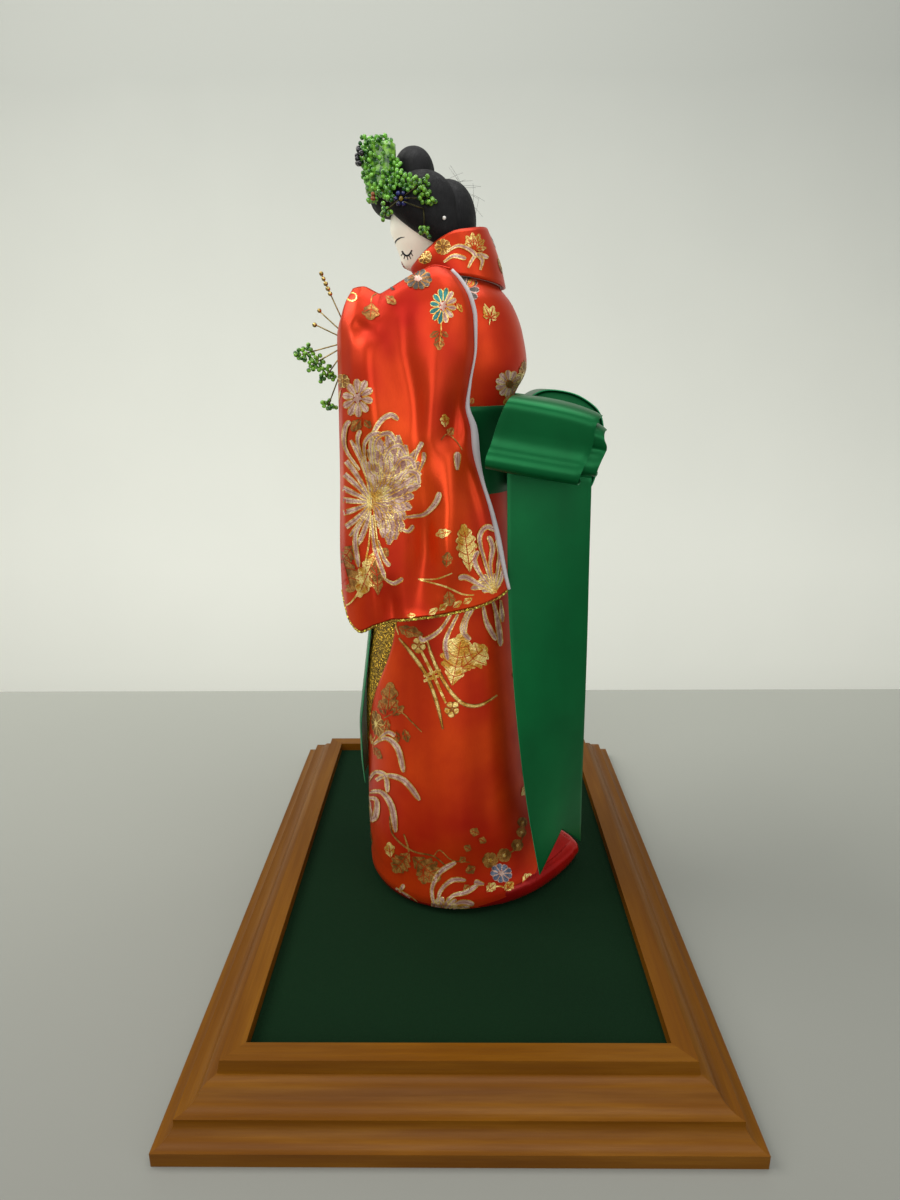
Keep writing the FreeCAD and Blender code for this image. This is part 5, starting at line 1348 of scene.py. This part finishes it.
def camera_axes():
    """The photograph's camera: its right, its down and the way it looks, as fitted to the base's edges."""
    pitch, yaw, roll = (math.radians(angle) for angle in (16.349, -0.652, -0.429))
    facing = Matrix(((1, 0, 0), (0, 0, -1), (0, 1, 0)))
    tip = Matrix(((1, 0, 0), (0, math.cos(pitch), -math.sin(pitch)), (0, math.sin(pitch), math.cos(pitch))))
    turn, lean = (Matrix(((math.cos(angle), -math.sin(angle), 0), (math.sin(angle), math.cos(angle), 0), (0, 0, 1)))
                  for angle in (yaw, roll))
    return [Vector((-row.y, row.x, row.z)) for row in lean @ (tip @ facing) @ turn]


def photo_ray(u, v):
    """The ray through a place of the photograph, which is 900 by 1200."""
    right, down, ahead = camera_axes()
    way = ahead * CAMERA_PIXELS + right * (u - PHOTO_MIDDLE[0]) + down * (v - PHOTO_MIDDLE[1])
    return CAMERA_PLACE, way.normalized()


def side_ray(axis):
    """Rays for a drawing in millimetres seen straight from behind (axis 1) or from the front (axis -1)."""
    def ray(u, v):
        return Vector((u * axis * MM, axis * 0.3, v * MM)), Vector((0, -axis, 0))
    return ray


def sleeve_flowers():
    art = Brocade("left_sleeve_cloth", photo_ray, 2.35)
    # The spider chrysanthemum: far petals, the dome, then the long curling ones
    heart = (371, 502)
    for tip, bend in (((341, 455), 0.10), ((340, 470), 0.06), ((339, 486), 0.02), ((339, 499), -0.04),
                      ((339, 514), -0.08), ((341, 530), -0.12), ((350, 536), -0.12), ((361, 452), 0.1),
                      ((351, 440), 0.14), ((358, 545), -0.1)):
        art.petal(heart, tip, 5, SILVER, bend=bend)
    art.dome(heart, [(366, 452), (376, 438), (388, 433), (400, 438), (411, 446), (420, 457), (421, 470), (420, 484),
                     (414, 498), (409, 512), (405, 525), (398, 538), (390, 545), (381, 541)], 6, 15, 8.6)
    art.curls(0.42, (4.6, (374, 452), (377, 438), (388, 433), (395, 441)),
              (4.6, (384, 462), (389, 449), (400, 446), (406, 455)),
              (4.6, (394, 470), (401, 459), (411, 459), (415, 469)),
              (4.6, (366, 460), (365, 444), (373, 434), (381, 434)),
              (4.6, (400, 482), (408, 472), (417, 474), (419, 484)))
    art.curls(0.34, (5.0, (374, 470), (371, 444), (379, 423), (390, 415), (398, 420)),
              (4.5, (360, 470), (346, 448), (346, 428), (351, 421)),
              (4.0, (364, 462), (358, 441), (361, 430)),
              (5.5, (404, 517), (424, 514), (436, 503), (440, 492)),
              (4.0, (400, 528), (408, 531), (413, 525)),
              (4.5, (414, 462), (418, 450), (423, 442)),
              (4.0, (418, 474), (424, 460), (424, 452)),
              (4.5, (368, 514), (356, 535), (359, 567)),
              (4.5, (372, 515), (375, 548), (385, 578)),
              (4.0, (378, 540), (384, 558), (390, 566)),
              (4.0, (384, 578), (394, 583), (403, 578)))
    art.stroke([(371, 505), (370, 535), (366, 562), (362, 585), (352, 602), (341, 607)], 1.8, GOLD, 0.45)
    art.stroke([(373, 505), (377, 535), (378, 552)], 1.4, GOLD, 0.45)
    art.leaves(((379, 546), (359, 597), 0.20, GOLD, 5), ((378, 596), (376, 560), 0.22, DULL, 3),
               ((354, 545), (342, 562), 0.45, DULL, 3), ((343, 558), (352, 592), 0.40, DULL, 3),
               ((381, 558), (387, 548), 0.5, DULL, 1))
    # Upper flowers
    art.blossom((358, 398), 15, 10, SILVER, SILVER, 1.3, 0.2)
    art.blossom((343, 381), 7, 6, DULL, DULL)
    art.leaves(((362, 418), (352, 431), 0.35, DULL, 1), ((364, 419), (371, 428), 0.35, DULL, 1))
    art.stroke([(339, 400), (341, 390)], 1.4, GOLD)
    art.blossom((443, 306), 13, 12, (TEAL, SILVER), SILVER, 1.4, 0.2)
    art.stroke([(441, 323), (441, 334), (439, 346)], 1.4, GOLD)
    art.leaves(((439, 334), (439, 350), 0.35, DULL, 2), ((440, 331), (430, 337), 0.3, DULL, 1),
               ((441, 331), (448, 337), 0.3, DULL, 1))
    art.blossom((418, 279), 14, 11, GREY, SILVER, 0.75, 0.1, DULL)
    art.leaves(((399, 275), (384, 290), 0.35, GREY, 2), ((372, 303), (370, 320), 0.55, DULL, 2),
               ((385, 296), (396, 304), 0.35, DULL, 1))
    art.stroke([(379, 292), (372, 297), (371, 306)], 1.3, DULL)
    art.stroke([(352 + 5 * math.cos(turn), 297 + 4 * math.sin(turn)) for turn in turns(8) + [2 * math.pi]], 1.6, GOLD)
    # Sprigs on the shoulder and in the middle
    art.leaves(((456, 302), (462, 312), 0.25, GOLD, 1), ((445, 428), (444, 414), 0.35, GOLD, 2),
               ((447, 436), (453, 428), 0.45, DULL, 1))
    art.stroke([(441, 440), (447, 434), (456, 441), (462, 450)], 1.2, DULL)
    art.petal((457, 470), (457, 452), 7, SILVER)
    # The lower corner: a second chrysanthemum with its leaves
    corner = (494, 592)
    art.curls(0.3, (5.0, corner, (484, 560), (479, 538), (486, 527), (496, 531)),
              (4.5, corner, (490, 566), (492, 548), (488, 536)),
              (4.0, corner, (497, 570), (499, 552), (496, 540)),
              (5.5, corner, (478, 584), (466, 577), (458, 578)),
              (5.0, corner, (480, 574), (474, 560), (478, 551)),
              (4.0, corner, (500, 580), (503, 566)))
    art.dome((495, 594), [(470, 590), (476, 580), (486, 574), (496, 574), (503, 582)], 3, 7, 4.5)
    art.leaves(((470, 573), (463, 524), 0.22, GOLD, 5), ((452, 531), (436, 535), 0.3, GOLD, 2),
               ((446, 568), (448, 552), 0.35, DULL, 2))
    art.stroke([(418, 579), (436, 579), (452, 573)], 1.6, GOLD)
    art.stroke([(420, 580), (444, 586), (462, 594), (474, 595)], 1.8, GOLD)
    art.leaf((448, 590), (450, 606), 0.4, DULL, 2)
    for u, v, lean in ((406, 616, 0.3), (428, 615, -0.3), (438, 611, -0.4), (452, 608, -0.3), (462, 604, -0.2)):
        art.leaf((u, v), (u + 10 * math.cos(lean), v + 10 * math.sin(lean) - 4), 0.3, GOLD, 1)
    art.finish("left_sleeve_flowers", "right_sleeve_flowers")


def torso_flowers():
    art = Brocade("torso_cloth", photo_ray, 2.3)
    art.blossom((464, 290), 15, 12, GREY, SILVER, 1.1, rim=SILVER)
    art.leaves(((470, 288), (473, 278), 0.4, DULL, 1), ((474, 279), (468, 287), 0.4, GOLD, 1))
    for tip in ((484, 306), (483, 316), (493, 306), (499, 313), (496, 320)):
        art.leaf((490, 318), tip, 0.32, GOLD, 1)
    art.stroke([(484, 304), (490, 313), (489, 325)], 1.2, GOLD)
    art.blossom((509, 384), 14, 11, SILVER, DULL)
    art.leaf((470, 405), (473, 398), 0.4, DULL, 1)
    art.finish("left_shoulder_flowers", "right_shoulder_flowers")


def collar_flowers():
    art = Brocade("collar_band", photo_ray, 2.2)
    art.blossom((425, 257), 7, 8, DULL, GOLD)
    art.blossom((443, 247), 8, 8, DULL, DULL)
    for tip in ((466, 236), (472, 233), (479, 234), (484, 240), (486, 248)):
        art.leaf((474, 250), tip, 0.25, GOLD, 2)
    art.stroke([(474, 250), (470, 243), (460, 247)], 1.4, GOLD)
    art.curls(0.2, (4.0, (447, 252), (458, 246), (470, 250), (476, 257)), (4.0, (444, 262), (454, 256), (466, 259)),
              (4.0, (468, 268), (476, 255), (488, 258)), (4.0, (480, 270), (482, 260), (476, 254)))
    art.finish("left_collar_flowers", "right_collar_flowers")


def skirt_flowers():
    art = Brocade("skirt_cloth", photo_ray, 2.35)
    # Crossed sticks tied in the middle
    for path in ([(399, 638), (413, 655), (427, 676), (437, 703), (443, 729)],
                 [(426, 636), (432, 656), (440, 674), (451, 692), (464, 704), (480, 705), (497, 695)]):
        art.stroke(path, 3.0, GOLD, 0.2, STICK, DULL)
    for centre in ((419, 645), (452, 709)):
        art.blossom(centre, 7, 5, GOLD, DULL, 1.2, 0.4, DULL)
    art.stroke([(421, 650), (433, 674), (446, 703)], 3.0, GOLD, 0.25)
    for offset in (0, 5):
        art.stroke([(424, 676 + offset), (432, 673 + offset), (441, 670 + offset)], 3.2, GOLD, 0.36)
    # The big leaf and the petals that come from under the sleeve
    art.leaves(((452, 686), (462, 634), 0.34, GOLD, 5), ((462, 668), (486, 646), 0.45, GOLD, 4))
    art.curls(0.28, (4.5, (452, 612), (440, 630), (424, 640), (420, 636)), (5.0, (458, 614), (446, 640), (448, 660)),
              (5.0, (470, 606), (462, 628), (470, 640)), (5.0, (482, 600), (486, 622), (496, 640)),
              (5.5, (492, 600), (497, 620), (500, 646)), (4.5, (476, 604), (466, 620), (464, 634)),
              (4.0, (500, 600), (502, 622)))
    # Muted cluster at the front edge
    for root, tip in (((388, 712), (391, 682)), ((388, 712), (398, 700)), ((386, 716), (380, 700)),
                      ((392, 716), (404, 706)), ((388, 718), (384, 735)), ((396, 730), (398, 742)),
                      ((404, 728), (408, 742))):
        art.leaf(root, tip, 0.30, DULL, 2)
    art.stroke([(384, 718), (400, 712), (412, 722), (422, 732)], 1.3, DULL)
    # Silver petals of the flower that runs round to the front
    art.curls(0.24, (5.5, (368, 788), (384, 776), (404, 780), (420, 800)),
              (6.0, (370, 792), (382, 792), (392, 806), (396, 832)),
              (4.5, (368, 782), (376, 772), (386, 776), (388, 792)),
              (6.0, (369, 798), (377, 800), (376, 816), (369, 820)),
              (5.5, (374, 744), (386, 738), (398, 748), (404, 772)),
              (4.0, (378, 740), (388, 732), (396, 736)))
    # Stem and leaves near the foot
    art.stroke([(390, 816), (392, 832), (402, 844), (416, 852), (434, 856), (446, 866)], 1.8, DULL)
    art.stroke([(404, 834), (408, 846), (410, 858)], 1.8, DULL)
    art.leaves(((410, 852), (394, 872), 0.42, DULL, 4), ((412, 856), (440, 880), 0.34, DULL, 4),
               ((424, 868), (424, 884), 0.4, DULL, 2), ((391, 858), (389, 842), 0.35, GOLD, 2))
    art.stroke([(434, 856), (440, 850), (452, 860), (470, 862)], 1.1, DULL)
    # The chrysanthemum at the hem
    art.curls(0.24, (5.0, (436, 910), (432, 890), (440, 872), (456, 862)),
              (4.5, (438, 910), (440, 892), (452, 880), (466, 880)),
              (4.5, (440, 911), (452, 896), (466, 892), (478, 884)),
              (5.0, (396, 888), (410, 898), (424, 911)), (5.0, (442, 913), (460, 902), (474, 904)),
              (4.0, (400, 892), (404, 884)))
    art.dome((440, 915), [(430, 904), (440, 896), (456, 898), (470, 906), (476, 913)], 3, 8, 4.2)
    art.blossom((501, 873), 11, 9, BLUE, SILVER, 0.85, 0.3, SILVER)
    art.petal((484, 884), (474, 882), 6, SILVER)
    for u, v in ((490, 889), (508, 888), (526, 880)):
        art.leaf((u - 4, v + 3), (u + 5, v - 6), 0.4, GOLD, 2)
    art.stroke([(486, 892), (498, 886), (510, 890)], 1.5, GOLD)
    for tip in ((520, 902), (528, 890), (536, 888)):
        art.leaf((522, 897), tip, 0.4, BLUE, 2)
    # Vine of small blossoms
    art.stroke([(524, 822), (522, 838), (514, 850), (500, 856), (488, 860)], 1.4, DULL)
    for centre, radius in (((522, 822), 5), ((521, 832), 5), ((517, 845), 6), ((504, 855), 7), ((490, 860), 8)):
        art.blossom(centre, radius, 6, DULL, GOLD, rim=DULL)
    for root, tip in (((480, 834), (470, 830)), ((478, 838), (486, 842)), ((472, 850), (464, 846)),
                      ((466, 856), (460, 862)), ((476, 866), (466, 872)), ((470, 884), (464, 890))):
        art.leaf(root, tip, 0.45, DULL, 1)
    art.finish("left_skirt_flowers", "right_skirt_flowers")


def hidden_side_flowers():
    """Flowers of the same kinds where the photograph doesn't look: the back, the front and the lapels."""
    behind, ahead = 1, -1
    for name, ground, axis, drawings in (
            ("back_flowers", "torso_cloth", behind,
             [(-14, 318, 6.0, SILVER), (12, 296, 6.5, DULL), (-16, 291, 4.0, TEAL)]),
            ("train_flowers", "skirt_cloth", behind,
             [(-16, 200, 7.0, SILVER), (14, 160, 7.0, DULL), (-12, 110, 7.5, SILVER), (16, 90, 5.0, BLUE),
              (2, 60, 7.0, SILVER)]),
            ("front_flowers", "skirt_cloth", ahead,
             [(-30, 190, 6.0, SILVER), (30, 170, 6.5, DULL), (-22, 120, 7.0, DULL), (24, 100, 7.0, SILVER),
              (-10, 62, 8.0, SILVER), (18, 48, 5.0, BLUE)]),
            ("nape_flowers", "collar_band", behind,
             [(-9, 348, 3.6, SILVER), (8, 344, 3.4, DULL), (0, 355, 2.6, DULL)]),
            ("chest_flowers", "left_lapel_band", ahead,
             [(9, 318, 3.4, DULL), (2, 302, 3.4, SILVER), (-4, 288, 3.0, DULL)])):
        art = Brocade(ground, side_ray(axis), 1.0)
        for number, (x, z, radius, kind) in enumerate(drawings):
            art.blossom((x, z), radius, 11, kind, GOLD, turn=number)
            if radius > 4:
                foot = z - radius
                art.stroke([(x, foot), (x + 3, foot - 6), (x + 1, foot - 12)], 0.7, GOLD)
                art.leaves(((x + 2, foot - 4), (x + 9, foot - 6), 0.4, GOLD, 2),
                           ((x + 2, foot - 8), (x - 6, foot - 10), 0.4, DULL, 2))
        art.finish(name)


def face_paint():
    """Closed eyes, brows and lips, painted on the left half and mirrored."""
    paint = 0
    art = Brocade("face_and_neck", photo_ray, 2.3)
    art.stroke([(395, 245), (396, 241), (400, 238), (405, 237)], 1.5, paint, 0.08, LEAF_PETAL)
    art.stroke([(402, 251), (405, 255), (409, 255), (412, 250)], 1.9, paint, 0.08)
    for lash in ([(403, 253), (401, 256)], [(405, 255), (404, 259)], [(407, 256), (408, 260)],
                 [(409, 255), (411, 259)], [(411, 253), (413, 256)]):
        art.stroke(lash, 0.9, paint, 0.08)
    art.finish("left_eye_paint", "right_eye_paint", "face", "head", INK)
    art = Brocade("face_and_neck", side_ray(-1), 1.0)
    for side in (1, -1):
        art.blossom((0.9 * side, 346.2), 1.1, 2, paint, paint, rim=None, turn=0.2 * side)
    art.stroke([(-2.2, 345.4), (0, 344.7), (2.2, 345.4)], 1.0, paint, 0.1)
    art.finish("lip_paint", None, "face", "head", LIP)


# Room, light and camera

def stage_piece(name, corners, axis, near, far):
    """A plain backdrop, whose colour is graded slowly along an axis from one (place, colour) to another: painted light
    and shade.
    """
    mesh = bpy.data.meshes.new(name)
    mesh.from_pydata(corners, [], [(0, 1, 2, 3)])
    item = bpy.data.objects.new(name, mesh)
    bpy.context.scene.collection.objects.link(item)
    nodes = Nodes(name, 0.7)
    along = nodes.add("ShaderNodeSeparateXYZ", Vector=nodes.coordinates).outputs[axis]
    share = nodes.maths("DIVIDE", nodes.maths("SUBTRACT", along, near[0]), far[0] - near[0])
    cloudy = nodes.maths("MULTIPLY", nodes.noise(6.0), 0.06)
    nodes.shades(nodes.maths("ADD", share, cloudy), near[1], far[1], 0.03, 1.0)
    mesh.materials.append(nodes.material)


def area_light(name, place, target, size, energy, colour=(1, 1, 1)):
    light = bpy.data.lights.new(name, "AREA")
    light.energy = energy
    light.size = size
    light.color = colour
    item = bpy.data.objects.new(name, light)
    item.location = place
    item.rotation_euler = (Vector(target) - Vector(place)).to_track_quat("-Z", "Y").to_euler()
    bpy.context.scene.collection.objects.link(item)


def room():
    # Metres: the table ends behind the doll's far side, and the wall stands well behind its end
    end, side, wall, floor, ceiling = -0.30, 2.5, -1.0, -1.5, 3.5
    # The table top is painted darker towards the camera: painted shade of the light falling off.
    stage_piece("table_top", [(end, -side, 0), (side, -side, 0), (side, side, 0), (end, side, 0)], "X",
                (end, (154, 156, 147)), (0.24, (116, 117, 110)))
    # The wall is painted lighter low down and darker higher up: painted light and shade.
    stage_piece("wall", [(wall, -4.0, floor), (wall, 4.0, floor), (wall, 4.0, ceiling), (wall, -4.0, ceiling)], "Z",
                (-0.25, (250, 252, 239)), (0.80, (178, 181, 173)))
    area_light("key", (0.05, -1.05, 1.25), (0, 0, 0.22), 0.9, 17.0, (1.0, 0.98, 0.95))
    area_light("top", (0.02, 0.15, 1.40), (0, 0, 0.1), 1.0, 11.0)
    area_light("fill", (1.3, -0.1, 0.6), (0, 0, 0.2), 1.0, 8.0)
    area_light("window", (0.9, 1.0, 0.65), (0, 0, 0.22), 0.8, 3.5)
    world = bpy.data.worlds.new("soft_world")
    world.use_nodes = True
    background = world.node_tree.nodes["Background"].inputs
    background["Color"].default_value = (1.0, 1.0, 1.0, 1.0)
    background["Strength"].default_value = 0.42
    bpy.context.scene.world = world


def camera():
    right, down, ahead = camera_axes()
    data = bpy.data.cameras.new("photo_camera")
    data.sensor_width = 36.0
    data.lens = 22.2
    data.clip_start = 0.01
    item = bpy.data.objects.new("photo_camera", data)
    bpy.context.scene.collection.objects.link(item)
    item.matrix_world = Matrix.Translation(CAMERA_PLACE) @ Matrix((right, -down, -ahead)).transposed().to_4x4()
    bpy.context.scene.camera = item


for build in (base, skirt, gold_panel, hem, wads, torso, obi, drum, loops, tails, front_ribbon, collar, lapels,
              sleeves, arms, head, hair, beads, sleeve_flowers, torso_flowers, collar_flowers, skirt_flowers,
              hidden_side_flowers, face_paint, room, camera):
    build()
bpy.context.scene.view_settings.view_transform = "Standard"
